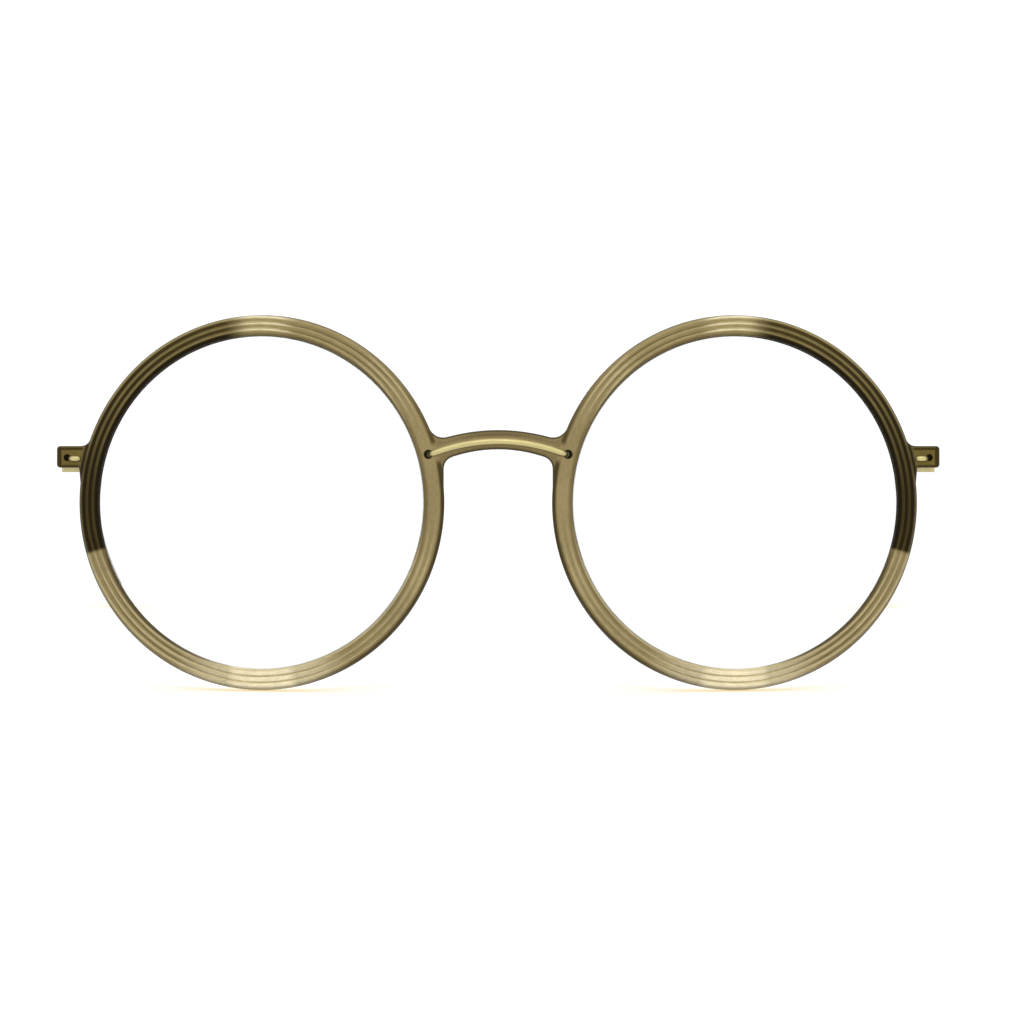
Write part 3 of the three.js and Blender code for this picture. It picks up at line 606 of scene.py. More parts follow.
def rim_ring():
    """The left rim: a section with beads, rounded back and lens groove, spun about the lens centre"""
    front = settings("front")
    wide, high = open_half()
    face, back = face_front(), rim_back()
    bead = bead_width()
    piece = added(bpy.ops.mesh.primitive_plane_add, "rim", size=1)
    with editing(piece):
        bpy.ops.transform.resize(value=(front.rim_width, back - face, 1))
        bpy.ops.transform.translate(value=(front.rim_width / 2, (face + back) / 2, 0))
        pick(piece, "VERT", lambda place: place.y > back - FLAT)
        bpy.ops.mesh.bevel(offset=front.rim_edge, segments=RIM_EDGE_STEPS, affect="VERTICES")
        pick(piece, "VERT", lambda place: place.y < face + FLAT)
        bpy.ops.mesh.bevel(offset=front.rim_shoulder, segments=SHOULDER_STEPS, affect="VERTICES")
        bpy.ops.mesh.select_all(action="SELECT")
        bpy.ops.mesh.delete(type="ONLY_FACE")
        pick(piece, "EDGE", lambda place: place.y < face + FLAT)
        bpy.ops.mesh.subdivide(number_cuts=front.bead_count * front.bead_steps - 1)
        pick(piece, "EDGE", lambda place: place.x < FLAT)
        bpy.ops.mesh.subdivide(number_cuts=BEVEL_CUTS)

    inner = sorted(
        (v for v in piece.data.vertices
         if v.co.x < FLAT and face + front.rim_shoulder + FLAT < v.co.y < back - front.rim_edge - FLAT),
        key=lambda v: v.co.y)
    for vertex, y in zip(inner, (-front.lens_bevel, 0, front.lens_bevel)):
        vertex.co.y = y
    inner[1].co.x = front.lens_bevel

    def beaded(place):
        if place.y < face + FLAT:
            part = (place.x - front.rim_shoulder) / bead
            around = part % 1 * math.pi
            place.x = front.rim_shoulder + bead * (math.floor(part) + (1 - math.cos(around)) / 2)
            place.y -= front.bead_height * eased(front.groove_floor, 1, math.sin(around))
        return place + Vector((wide, 0, 0))

    def faded(place):
        """Lets the beads run out into a plain crowned face beside the nose"""
        if place.y < face + FLAT:
            from_plain = abs(math.atan2(place.z, -place.x) - front.plain_angle)
            beads = eased(0, 1, (from_plain - front.plain_half) / front.plain_fade)
            middle = 2 * (math.hypot(place.x, place.z) - wide) / front.rim_width - 1
            crown = front.plain_crown * (1 - min(1, middle ** 2))
            place.y = face + (place.y - face) * beads - crown * (1 - beads)
        return place

    reshaped(piece, beaded)
    with editing(piece):
        bpy.ops.mesh.spin(
            steps=front.rim_steps, angle=2 * math.pi, center=(0, 0, 0), axis=(0, 1, 0))
    closed(piece)
    reshaped(piece, faded)
    with editing(piece):
        bpy.ops.transform.resize(value=(1, 1, high / wide))
        bpy.ops.transform.translate(value=(rim_x(), 0, 0))
    return piece


def bridge_plate():
    """A flat arch between the rims, its left half the mirrored right one in reverse"""
    front = settings("front")
    root = front.rim_width / 2
    top = front.bridge_crest - front.bridge_sag
    low = top - front.bridge_height
    high_root = top + front.bridge_top_fillet
    low_root = low - front.bridge_low_reach
    rim_top, rim_low = nasal_x(top, front.rim_width), nasal_x(low_root, front.rim_width)
    top_end, low_end = rim_top - front.bridge_top_fillet, rim_low - front.bridge_low_fillet
    low_turn = low - 2 * front.bridge_sag / low_end * front.bridge_low_fillet
    right_half = [
        ((top_end, top), (0, top + 2 * front.bridge_sag)),
        ((nasal_x(high_root, front.rim_width), high_root), (rim_top, top - front.bridge_top_dip)),
        ((nasal_x(high_root, root), high_root), None),
        ((nasal_x(low_root, root), low_root), None),
        ((rim_low, low_root), None),
        ((rim_low, low_turn - front.bridge_low_fillet), None),
        ((low_end, low), (rim_low, low_turn)),
    ]
    controls = [(0, low + 2 * front.bridge_sag)]
    controls += [control and (-control[0], control[1]) for _, control in right_half[:0:-1]]
    left_half = [((-x, z), control) for ((x, z), _), control in zip(right_half[::-1], controls)]
    return flat_plate(
        "bridge", right_half + left_half, face_front() - front.bridge_proud, rim_back(), front.bridge_edge)


def lug_plate():
    """The left end lug, with a fillet into the rim above it and a gusset below"""
    front = settings("front")
    root = front.rim_width / 2
    end, corner = lug_end(), front.lug_corner
    low, top = lug_heights()
    high_root = top + front.lug_fillet
    low_root = low - front.lug_gusset_reach
    rim_top = temporal_x(top, front.rim_width)
    outline = [
        ((temporal_x(low_root, root), low_root), None),
        ((temporal_x(low_root, front.rim_width), low_root), None),
        ((temporal_x(low, front.rim_width) + front.lug_gusset, low), None),
        ((end - corner, low), None),
        ((end, low + corner), (end, low)),
        ((end, top - corner), None),
        ((end - corner, top), (end, top)),
        ((rim_top + front.lug_fillet, top), None),
        ((temporal_x(high_root, front.rim_width), high_root), (rim_top, top)),
        ((temporal_x(high_root, root), high_root), None),
    ]
    return flat_plate("lug", outline, face_front(), rim_back(), front.lug_edge)


def wire_route():
    """Over the bridge, through the rims, and down into the nose pads"""
    wire = settings("wire")
    depth = face_front() + wire.sink - wire.diameter / 2
    leg = wire_leg()

    def arch(x):
        return Vector((x, depth, wire.crest - (wire.crest - wire.hole_level) * (x / leg) ** 2))

    corners = [
        pad_point(wire.pad_length / 2 - wire.arm_depth),
        pad_point(wire.pad_length / 2 + wire.bend),
        Vector((leg, pad_middle().y, wire.hole_level)),
        Vector((leg, depth, wire.hole_level)),
        arch(leg - 2 * wire.bend),
    ]
    half = eased_route(corners, wire.bend)
    reach = corners[-1].x
    middle = [arch(reach * (1 - 2 * k / ARCH_STEPS)) for k in range(1, ARCH_STEPS)]
    other = [Vector((-place.x, place.y, place.z)) for place in reversed(half)]
    return half + middle + other


def pad_middle():
    front, wire = settings("front"), settings("wire")
    reach = wire.pad_width * math.sin(wire.pad_splay) + wire.pad_thickness * math.cos(wire.pad_splay)
    x = nasal_x(wire.pad_level, front.rim_width) - wire.pad_peek + reach / 2
    return Vector((x, rim_back() + wire.pad_setback, wire.pad_level))


def pad_point(above):
    """A point on the pad's own axis, a distance above its middle"""
    tilt = settings("wire").pad_tilt
    return pad_middle() + Vector((-above * math.sin(tilt), 0, above * math.cos(tilt)))


def staple_route():
    hinge = settings("hinge")
    outer = lug_end() - hinge.staple_inset
    inner = outer - hinge.staple_span
    bar = face_front() + settings("wire").sink - hinge.staple / 2
    leg = leaf_back() - hinge.play
    corners = [
        Vector((x, y, hinge.staple_level))
        for x, y in ((outer, leg), (outer, bar), (inner, bar), (inner, leg))
    ]
    return eased_route(corners, hinge.staple_bend)


def formed(piece):
    """Forms flat work to the front's curve and stands it on the table"""
    def curved(place):
        place.y += formed_depth(place.x, place.z)
        return place

    reshaped(piece, curved)
    return placed(piece, front_place())


def blind_hole(x, z, diameter, bottom):
    """A tool for a hole from the front to a depth"""
    return placed(
        drum("bore", diameter / 2, -bottom, rim_back() * 2),
        Matrix.Translation((x, 0, z)) @ Matrix.Rotation(math.pi / 2, 4, "X"))


class EYEGLASS_OT_front(Operator):
    """Model the one-piece front: reeded rims, bridge and end lugs, bored for the wire and the staples"""
    bl_idname = "eyeglass.front"
    bl_label = "Front"

    def execute(self, context):
        front, wire, hinge = settings("front"), settings("wire"), settings("hinge")
        piece = rim_ring()
        lug = lug_plate()
        flats = [mirrored(piece, "rim_right"), bridge_plate(), mirrored(lug, "lug_right"), lug]
        combined(piece, flats, "UNION")
        bores = [
            blind_hole(side * x, level, diameter, bottom)
            for side in SIDES.values()
            for x, level, diameter, bottom in (
                (nasal_x(wire.hole_level, wire.hole_inset), wire.hole_level, wire.hole,
                 wire.hole_depth - rim_back()),
                (lug_end() - front.lug_hole_inset, front.lug_hole_level, front.lug_hole,
                 front.lug_hole_depth + face_front()))
        ]
        staple = round_bar("channel", staple_route(), hinge.staple / 2 + wire.channel_play)
        channels = [
            round_bar("channel", wire_route(), wire.diameter / 2 + wire.channel_play),
            mirrored(staple, "channel_right"), staple,
        ]
        combined(piece, bores + channels, "DIFFERENCE")
        with editing(piece):
            bpy.ops.mesh.remove_doubles(threshold=WELD)
        formed(piece)
        piece.name = "front_dressed"
        smooth(piece)
        finished(piece, acetate_front(), "front", "front_frame")
        return {"FINISHED"}


class EYEGLASS_OT_wire(Operator):
    """Model the bridge wire and the staples in the lugs"""
    bl_idname = "eyeglass.wire"
    bl_label = "Wire and Staples"

    def execute(self, context):
        gold = polished_gold()
        piece = formed(round_bar("bridge_wire_dressed", wire_route(), settings("wire").diameter / 2))
        smooth(piece)
        finished(piece, gold, "front", "bridge_wire")
        staple = formed(round_bar("hinge_staple", staple_route(), settings("hinge").staple / 2))
        pair(staple, gold, FRONT_BODIES, "hinge_staple")
        return {"FINISHED"}


class EYEGLASS_OT_lenses(Operator):
    """Model the two clear lenses, bevelled to sit in the rims' grooves"""
    bl_idname = "eyeglass.lenses"
    bl_label = "Lenses"

    def execute(self, context):
        front = settings("front")
        wide, high = open_half()
        body = wide - front.lens_play
        bevel = front.lens_bevel - front.lens_play
        half = front.lens_thickness / 2
        piece = added(
            bpy.ops.mesh.primitive_cylinder_add, "lens",
            vertices=front.rim_steps, radius=body, depth=front.lens_thickness, rotation=(math.pi / 2, 0, 0))
        bpy.ops.object.transform_apply(location=True, rotation=True, scale=True)
        with editing(piece):
            pick(piece, "EDGE", lambda place: abs(place.y) < FLAT and place.length > body / 2)
            bpy.ops.mesh.subdivide(number_cuts=BEVEL_CUTS)
            for face in (-half, half):
                for _ in range(front.lens_rings - 1):
                    pick(piece, "FACE", lambda place: abs(place.y - face) < FLAT and place.length < FLAT)
                    bpy.ops.mesh.inset(thickness=body / front.lens_rings)

        def edged(place):
            if abs(place.y) < half - FLAT:
                place.y = math.copysign(min(1, round(abs(place.y) / half * 2)) * bevel, place.y)
                if abs(place.y) < FLAT:
                    place.x *= 1 + bevel / body
                    place.z *= 1 + bevel / body
            return Vector((place.x + rim_x(), place.y, place.z * high / wide))

        reshaped(piece, edged)
        closed(piece)
        formed(piece)
        pair(piece, clear_lens(), FRONT_BODIES, "lens")
        return {"FINISHED"}


class EYEGLASS_OT_pads(Operator):
    """Model the two nose pads"""
    bl_idname = "eyeglass.pads"
    bl_label = "Nose Pads"

    def execute(self, context):
        wire = settings("wire")
        middle = pad_middle()
        piece = added(
            bpy.ops.mesh.primitive_cylinder_add, "nose_pad",
            vertices=PAD_SIDES, radius=0.5, depth=1, rotation=(0, math.pi / 2, 0))
        bpy.ops.object.transform_apply(location=True, rotation=True, scale=True)
        with editing(piece):
            bpy.ops.transform.resize(value=(wire.pad_thickness, wire.pad_width, wire.pad_length))
            pick(piece, "EDGE", lambda place: abs(abs(place.x) - wire.pad_thickness / 2) < FLAT)
            bpy.ops.mesh.bevel(offset=wire.pad_edge, segments=PAD_EDGE_STEPS, profile=0.5)
        middle.y += formed_depth(middle.x, middle.z)
        turned = Matrix.Rotation(-wire.pad_tilt, 4, "Y") @ Matrix.Rotation(-wire.pad_splay, 4, "Z")
        placed(piece, front_place() @ Matrix.Translation(middle) @ turned)
        pair(piece, silicone(), FRONT_BODIES, "nose_pad")
        return {"FINISHED"}


# Hinges

def barrel_heights():
    """The upper front barrel's ends above the hinge's middle"""
    hinge = settings("hinge")
    low = hinge.temple_barrel / 2 + hinge.washer + 2 * hinge.play
    return low, low + hinge.front_barrel


def screw_bore(half):
    """A tool for the screw's bore through a piece of this half height"""
    hinge = settings("hinge")
    return drum("bore", hinge.screw / 2 + hinge.screw_play, -half * 2, half * 2)


def front_leaf():
    """A plate behind the lug, and two barrels on necks, bored for the screw"""
    hinge = settings("hinge")
    at = hinge_local()
    radius = hinge.barrel / 2
    low, high = barrel_heights()
    margin = hinge.staple / 2 + hinge.leaf_margin
    outer = lug_end() - hinge.staple_inset
    plate_low = lug_heights()[0] - hinge.leaf_peek
    plate = block(
        "front_hinge_leaf", outer - hinge.staple_span - margin, lug_end() - hinge.leaf_inset,
        leaf_back() - hinge.leaf, leaf_back(), plate_low, at.z + high)

    def set_back(place):
        place.y += formed_depth(place.x, place.z)
        return place - at

    reshaped(plate, set_back)
    reach = hinge.clearance + hinge.leaf / 2 + radius
    for bottom, top in ((low, high), (-high, -low)):
        neck = block("neck", -hinge.neck / 2, hinge.neck / 2, -reach, 0, bottom, top)
        combined(plate, [neck, drum("barrel", radius, bottom, top)], "UNION")
    head = drum("seat", hinge.screw_head / 2 + hinge.screw_play, high - hinge.screw_head_height, high * 2)
    return combined(plate, [screw_bore(high), head], "DIFFERENCE")


def temple_leaf():
    """The middle barrel, and a plate on the bar's inner face"""
    hinge = settings("hinge")
    half, thick = hinge.temple_barrel / 2, hinge.temple_leaf / 2
    start = bar_start()
    end = start + hinge.temple_leaf_length
    tall = hinge.temple_leaf_height / 2
    piece = block("temple_hinge_leaf", -thick, thick, start, end, -tall, tall)
    with editing(piece):
        pick(piece, "EDGE", lambda place: place.y > end - FLAT and abs(place.z) > tall - FLAT)
        bpy.ops.mesh.bevel(offset=tall * LEAF_END_PART, segments=LEAF_END_STEPS, affect="EDGES")
    neck = block("neck", -thick, thick, 0, start + thick, -half, half)
    combined(piece, [neck, drum("barrel", hinge.barrel / 2, -half, half)], "UNION")
    return combined(piece, [screw_bore(half)], "DIFFERENCE")


def hinge_screw():
    """A shank and a slotted head"""
    hinge = settings("hinge")
    _, high = barrel_heights()
    under = high - hinge.screw_head_height + hinge.play
    wide, slit = hinge.screw_head, hinge.slot_width / 2
    piece = drum("hinge_screw", hinge.screw / 2, -high, under + hinge.play)
    combined(piece, [drum("head", hinge.screw_head / 2, under, high)], "UNION")
    slot = block("slot", -wide, wide, -slit, slit, high - hinge.slot_depth, high * 2)
    return combined(piece, [slot], "DIFFERENCE")


def hinge_washer():
    hinge = settings("hinge")
    half = hinge.washer / 2
    piece = drum("hinge_washer", hinge.barrel / 2 - hinge.play, -half, half)
    return combined(piece, [screw_bore(half)], "DIFFERENCE")


class EYEGLASS_OT_hinges(Operator):
    """Model both hinges: leaves, barrels, washers and slotted screws"""
    bl_idname = "eyeglass.hinges"
    bl_label = "Hinges"

    def execute(self, context):
        hinge = settings("hinge")
        gold = brushed_gold("gold_hinge_finish", along=2)
        for step, finish, slot, bodies, node in (
                (front_leaf, gold, "gold_hinge", FRONT_BODIES, "front_hinge_leaf"),
                (temple_leaf, gold, "gold_hinge", TEMPLE_BODIES, "temple_hinge_leaf"),
                (hinge_screw, plated_steel(), "screw", FRONT_BODIES, "hinge_screw")):
            piece = step()
            softened(piece, hinge.edge)
            pair(placed(piece, hinge_place()), finish, bodies, node)
        nylon = washer_nylon()
        away = (hinge.temple_barrel + hinge.washer) / 2 + hinge.play
        for place, level in (("upper", away), ("lower", -away)):
            lifted = hinge_place() @ Matrix.Translation((0, 0, level))
            pair(placed(hinge_washer(), lifted), nylon, FRONT_BODIES, "hinge_washer_" + place)
        return {"FINISHED"}


# Temples

def temple_point(along):
    """The temple's middle line about the hinge, a length back from it"""
    hinge, temple = settings("hinge"), settings("temple")
    radius = temple.bend_radius
    straight = min(along, temple.to_bend)
    bent = min(max((along - temple.to_bend) / radius, 0), temple.drop)
    beyond = max(along - temple.to_bend - radius * temple.drop, 0)
    back = straight + radius * math.sin(bent) + beyond * math.cos(temple.drop)
    down = radius * (1 - math.cos(bent)) + beyond * math.sin(temple.drop)
    leaf_end = bar_start() + hinge.temple_leaf_length
    toe = eased(0, temple.toe_in, (along - leaf_end) / temple.toe_length)
    curl = max(along - temple.curl_start, 0) / (temple.length - temple.curl_start)
    beside = hinge.temple_leaf / 2 + hinge.play + temple.bar_thickness / 2
    return Vector((beside - toe - temple.tip_inset * curl ** 2, back, -down))


def bar_size(along):
    """Thickness and height of the bar, which narrows into the core inside the tip"""
    temple = settings("temple")
    part = (along - temple.length + temple.tip_length) / temple.bar_neck + 1
    return (eased(temple.bar_thickness, temple.core_thickness, part),
            eased(temple.bar_height, temple.core_height, part))


def tip_size(along):
    """Thickness and height of the tip, with a narrowed mouth and a domed end"""
    temple = settings("temple")
    mouth = temple.length - temple.tip_length
    dome = temple.tip_end_height / 2
    to_end = min(max((temple.length - along) / dome, 0), 1)
    to_mouth = min(max((along - mouth) / temple.tip_lip, 0), 1)
    size = math.sqrt(1 - (1 - to_end) ** 2) * eased(temple.tip_mouth, 1, to_mouth)
    tall = eased(temple.tip_height, temple.tip_end_height, (along - mouth) / temple.tip_length)
    return temple.tip_thickness * size, tall * size


def swept(name, start, end, size, roundness):
    """A cylinder cut into rings and laid along the temple, its section between a box and an ellipse"""
    piece = added(bpy.ops.mesh.primitive_cylinder_add, name, vertices=TEMPLE_SIDES, radius=1, depth=2)
    with editing(piece):
        pick(piece, "EDGE", lambda place: abs(place.z) < FLAT)
        bpy.ops.mesh.subdivide(number_cuts=settings("temple").steps)

    def laid(place):
        part = (1 - math.cos((place.z + 1) / 2 * math.pi)) / 2
        along = start + (end - start) * part
        heading = (temple_point(along + MM / 2) - temple_point(along - MM / 2)).normalized()
        up = Vector((1, 0, 0)).cross(heading).normalized()
        out = heading.cross(up)
        thick, tall = size(along)
        across = math.copysign(abs(place.x) ** roundness, place.x)
        above = math.copysign(abs(place.y) ** roundness, place.y)
        return temple_point(along) + out * (across * thick / 2) + up * (above * tall / 2)

    reshaped(piece, laid)
    closed(piece)
    return placed(piece, hinge_place())


class EYEGLASS_OT_temples(Operator):
    """Model the metal temple bars and their acetate tips"""
    bl_idname = "eyeglass.temples"
    bl_label = "Temples"

    def execute(self, context):
        temple = settings("temple")
        bar_end, mouth = temple.length - temple.core_stop, temple.length - temple.tip_length
        bar = swept("temple_bar", bar_start(), bar_end, bar_size, BAR_ROUNDNESS)
        pair(bar, brushed_gold("gold_bar_finish", along=1), TEMPLE_BODIES, "temple_bar")
        tip = swept("temple_tip", mouth, temple.length, tip_size, TIP_ROUNDNESS)
        pair(tip, acetate_tip(), TEMPLE_BODIES, "temple_tip")
        return {"FINISHED"}


# Finishes

# A noise's usual range
NOISE_LOW, NOISE_HIGH = 0.3, 0.7

# Rays that show the background: from the camera, in reflections and through glass
SEEN_RAYS = ("Is Camera Ray", "Is Glossy Ray", "Is Transmission Ray")

# Sides of a rim, in degrees about its centre from the temple side upwards
TOP, UPPER_NOSE_SIDE, HOLE_SIDE, LOW_TEMPLE_SIDE, BOTTOM = 90, 110, 164, -45, -90

# Zones about such a side, in degrees from it: where a zone has faded, and where it is full. The low
# highlight and glow zones hold the painted highlight of the lower rims, and the top zone that of the top
LOW_HIGHLIGHT_ZONE, GLOW_ZONE, TOP_HIGHLIGHT_ZONE, UPPER_ZONE, BESIDE_HOLE = (15, 8), (32, 12), (12, 4), (24, 10), (1.5, 4)

# Turns, in degrees: away from the plain stretch, above the temple side for the darker upper outer rims and
# for their painted highlight lines, and about their lower end
REEDED_TURN, DARK_ZONE_TURN, DARK_ZONE_LINE_TURN, DARK_ZONE_STOP = (12, 38), (5, 80), (0, 50), (-0.8, 0.8)

# Bands, in millimetres from the edge that each belongs to: where a band starts, and where it is full
LENS_SHADE, RIM_DARK_ZONE, LUG_FACE, OFF_RIM = (1.0, 0.65), (0.8, 0.1), (0.2, 0.9), (-0.1, 0.2)
OUTER_EDGE, OUTER_EDGE_END, BEADS_END = (2.35, 2.85), (3.6, 3.15), (0.1, -0.05)
CORNER_BAND, BEAD_SIDES, BACK_BAND = (-0.02, 0.14), (0.9, 0.5), (-0.3, -1.2)
OFF_WIRE, CREST_BAND = (0.5, 1.0), (9.0, 3.0)
LUG_SEAM, LUG_SEAM_END, LUG_FOOT, LUG_TIP = (0.15, 0.35), (0.75, 0.5), (0.6, 0.25), (0.85, 0.6)

# In beads from a highlight line, for the painted groove shade; as the cosine of the turn from the shaded
# side; in half widths of the opening
GROOVE_SHADE_PART, AWAY_FROM_LIGHT, NOSE_SIDE = (0.28, 0.48), (0.2, 0.9), (-0.8, -1.0)

# How soon the painted highlight lines change flanks, how fine the grain is around a rim, and shares of the
# tones, the glow's being that of the painted low highlight
HIGHLIGHT_LEAN, GRAIN_TURN = 1.5, 6.0
GLOW_SHARE, GRAIN_SHARE, CLOUD_SHARE, SPECK_SHARE = 0.5, 0.5, 0.35, 0.15

# Where painted shade darkens the wire's gold, in wire diameters from its ground, and where it clears again,
# in millimetres
WIRE_SUNK_SHADE, WIRE_CLEAR = (-0.8, -0.35), (0, -0.4)


class ShadeBand(NamedTuple):
    """A band of painted shade along a rim: millimetres outside the opening, degrees from a side, and its
    strength
    """
    across: tuple
    side: float
    around: tuple
    strength: float


SHADE_BANDS = (
    ShadeBand(across=(1.0, 0.3), side=BOTTOM, around=(25, 60), strength=0.55),
    ShadeBand(across=(0.65, 0.35), side=LOW_TEMPLE_SIDE, around=(38, 22), strength=0.9),
    ShadeBand(across=(2.45, 2.85), side=BOTTOM, around=(16, 6), strength=0.7),
    ShadeBand(across=(0.5, 0.2), side=BOTTOM, around=(8, 22), strength=0.5),
)


class Value:
    """An output of a node, for use in sums as a number is"""

    def __init__(self, recipe, socket):
        self.recipe, self.socket = recipe, socket

    def __add__(self, other):
        return self.recipe.math("ADD", self, other)

    def __sub__(self, other):
        return self.recipe.math("SUBTRACT", self, other)

    def __rsub__(self, other):
        return self.recipe.math("SUBTRACT", other, self)

    def __mul__(self, other):
        return self.recipe.math("MULTIPLY", self, other)

    def __truediv__(self, other):
        return self.recipe.math("DIVIDE", self, other)

    def __abs__(self):
        return self.recipe.math("ABSOLUTE", self)

    def between(self, start, full):
        """0 at start, 1 at full, smooth between and level beyond; either may be the larger"""
        return self.recipe.out(
            "ShaderNodeMapRange", "Result", {"Value": self, "From Min": start, "From Max": full},
            interpolation_type="SMOOTHSTEP")

    def band(self, edge, ends):
        """As between, the ends in millimetres from an edge"""
        return self.between(*(edge + end * MM for end in ends))

    def turn(self, side, ends):
        """As between, the ends in degrees from a side, which is an angle"""
        return self.between(*(side + math.radians(end) for end in ends))

    def ranged(self, low, high):
        """Low where this is 0, high where it is 1"""
        return self * (high - low) + low

    def spread(self, low, high):
        """A noise's usual range, spread from low to high"""
        return self.recipe.out(
            "ShaderNodeMapRange", "Result",
            {"Value": self, "From Min": NOISE_LOW, "From Max": NOISE_HIGH, "To Min": low, "To Max": high})


class Recipe:
    """The nodes of a material or a world, added and joined one after another"""

    def __init__(self, name, owners=None, shader="Principled BSDF"):
        self.owner = (bpy.data.materials if owners is None else owners).new(name)
        self.owner.use_nodes = True
        self.nodes = self.owner.node_tree.nodes
        self.links = self.owner.node_tree.links
        self.shader = self.nodes[shader]

    def feed(self, socket, value):
        if isinstance(value, Value):
            self.links.new(value.socket, socket)
        elif socket.type == "RGBA":
            socket.default_value = (*value, 1.0)
        else:
            socket.default_value = value

    def add(self, kind, inputs=None, **values):
        node = self.nodes.new(kind)
        for name, value in values.items():
            setattr(node, name, value)
        for key, value in (inputs or {}).items():
            self.feed(node.inputs[key], value)
        return node

    def out(self, kind, output, inputs=None, **values):
        """Adds a node and gives one of its outputs"""
        return Value(self, self.add(kind, inputs, **values).outputs[output])

    def math(self, operation, *values):
        return self.out("ShaderNodeMath", 0, dict(enumerate(values)), operation=operation)

    def largest(self, *values):
        return reduce(lambda one, other: self.math("MAXIMUM", one, other), values)

    def mix(self, part, first, second, share=None, blend="MIX"):
        """From the first colour to the second by a part, or by a share of that part"""
        factor = part if share is None else part * share
        return self.out(
            "ShaderNodeMix", 2, {0: factor, 6: first, 7: second}, data_type="RGBA", blend_type=blend)

    def noise(self, place, scale, detail, roughness=0.5):
        return self.out(
            "ShaderNodeTexNoise", "Fac",
            {"Vector": place, "Scale": scale, "Detail": detail, "Roughness": roughness})

    def object_place(self, matrix):
        """Object coordinates in the axes that the matrix stands for"""
        return self.out(
            "ShaderNodeMapping", "Vector",
            {"Vector": self.out("ShaderNodeTexCoord", "Object"), "Location": matrix.to_translation(),
             "Rotation": matrix.to_euler()},
            vector_type="TEXTURE")

    def scaled(self, place, x, y, z):
        return self.out("ShaderNodeMapping", "Vector", {"Vector": place, "Scale": (x, y, z)})

    def axes(self, place):
        parts = self.add("ShaderNodeSeparateXYZ", {"Vector": place}).outputs
        return [Value(self, part) for part in parts]

    def front_depth(self, place):
        """How far back a point of the front lies, its curve taken out"""
        x, y, z = self.axes(place)
        return y - (x * x + z * z) / (2 * settings("front").base_radius)

    def seen_ray(self):
        path = self.add("ShaderNodeLightPath").outputs
        return self.largest(*(Value(self, path[name]) for name in SEEN_RAYS))

    def bump(self, height, distance, strength):
        self.surface(Normal=self.out(
            "ShaderNodeBump", "Normal", {"Height": height, "Distance": distance, "Strength": strength}))

    def surface(self, **values):
        for name, value in values.items():
            self.feed(self.shader.inputs[name.replace("_", " ")], value)


class FrontField:
    """Where a point of the front lies: outside the lens opening, around the rim, and behind the datum"""

    def __init__(self, recipe):
        wide, high = open_half()
        self.place = recipe.object_place(front_place())
        self.x, _, self.z = recipe.axes(self.place)
        self.out = abs(self.x) - rim_x()
        self.angle = recipe.math("ARCTAN2", self.z, self.out)
        squeezed = self.z * (wide / high)
        self.offset = recipe.math("SQRT", self.out * self.out + squeezed * squeezed) - wide
        self.depth = recipe.front_depth(self.place)

    def near(self, side, ends):
        """A zone about a side of the rim"""
        return abs(self.angle - math.radians(side)).turn(0, ends)

    def sideways(self, start, full):
        """From the rim's middle to the temple, or to the nose if negative, in half widths of the opening"""
        wide, _ = open_half()
        return self.out.between(start * wide, full * wide)

    def lug(self):
        return self.offset.band(settings("front").rim_width, LUG_FACE) * self.sideways(0.0, 1.0)

    def dark_zone(self):
        """The upper outer rim, which is painted darker: it fades towards the top and stops short below the
        lug
        """
        front, finish = settings("front"), settings("finish")
        faded = self.angle.between(finish.dark_zone_top, finish.dark_zone_top - finish.dark_zone_fade)
        stopped = self.angle.turn(finish.dark_zone_end, DARK_ZONE_STOP)
        return faded * stopped * self.offset.band(front.rim_width, RIM_DARK_ZONE)


def painted_bead_light(recipe, field):
    """Painted highlights: pale lines along the beads, on the flank that looks to the upper outer side; and
    painted shade in the grooves
    """
    front, finish = settings("front"), settings("finish")
    bead = bead_width()
    # The painted lines move across the beads with the light's side, as highlights would
    lean = recipe.math("COSINE", field.angle - finish.light_side) * HIGHLIGHT_LEAN
    lean = recipe.math("MAXIMUM", recipe.math("MINIMUM", lean, 1.0), -1.0)
    across = (field.offset - front.rim_shoulder) / bead - lean * finish.highlight_shift
    from_highlight = abs(recipe.math("FRACT", across) - 0.5)
    from_middle = abs(field.offset - front.rim_width / 2 - lean * (finish.highlight_shift * bead))
    from_plain = abs(recipe.math("ARCTAN2", field.z, field.out * -1.0) - front.plain_angle)
    reeded = from_plain.turn(0, REEDED_TURN) * field.depth.band(face_front(), BEAD_SIDES)
    reeded = reeded * from_middle.band(front.bead_count * bead / 2, BEADS_END)
    return from_highlight.between(finish.line_width, 0.0) * reeded, from_highlight.between(*GROOVE_SHADE_PART) * reeded


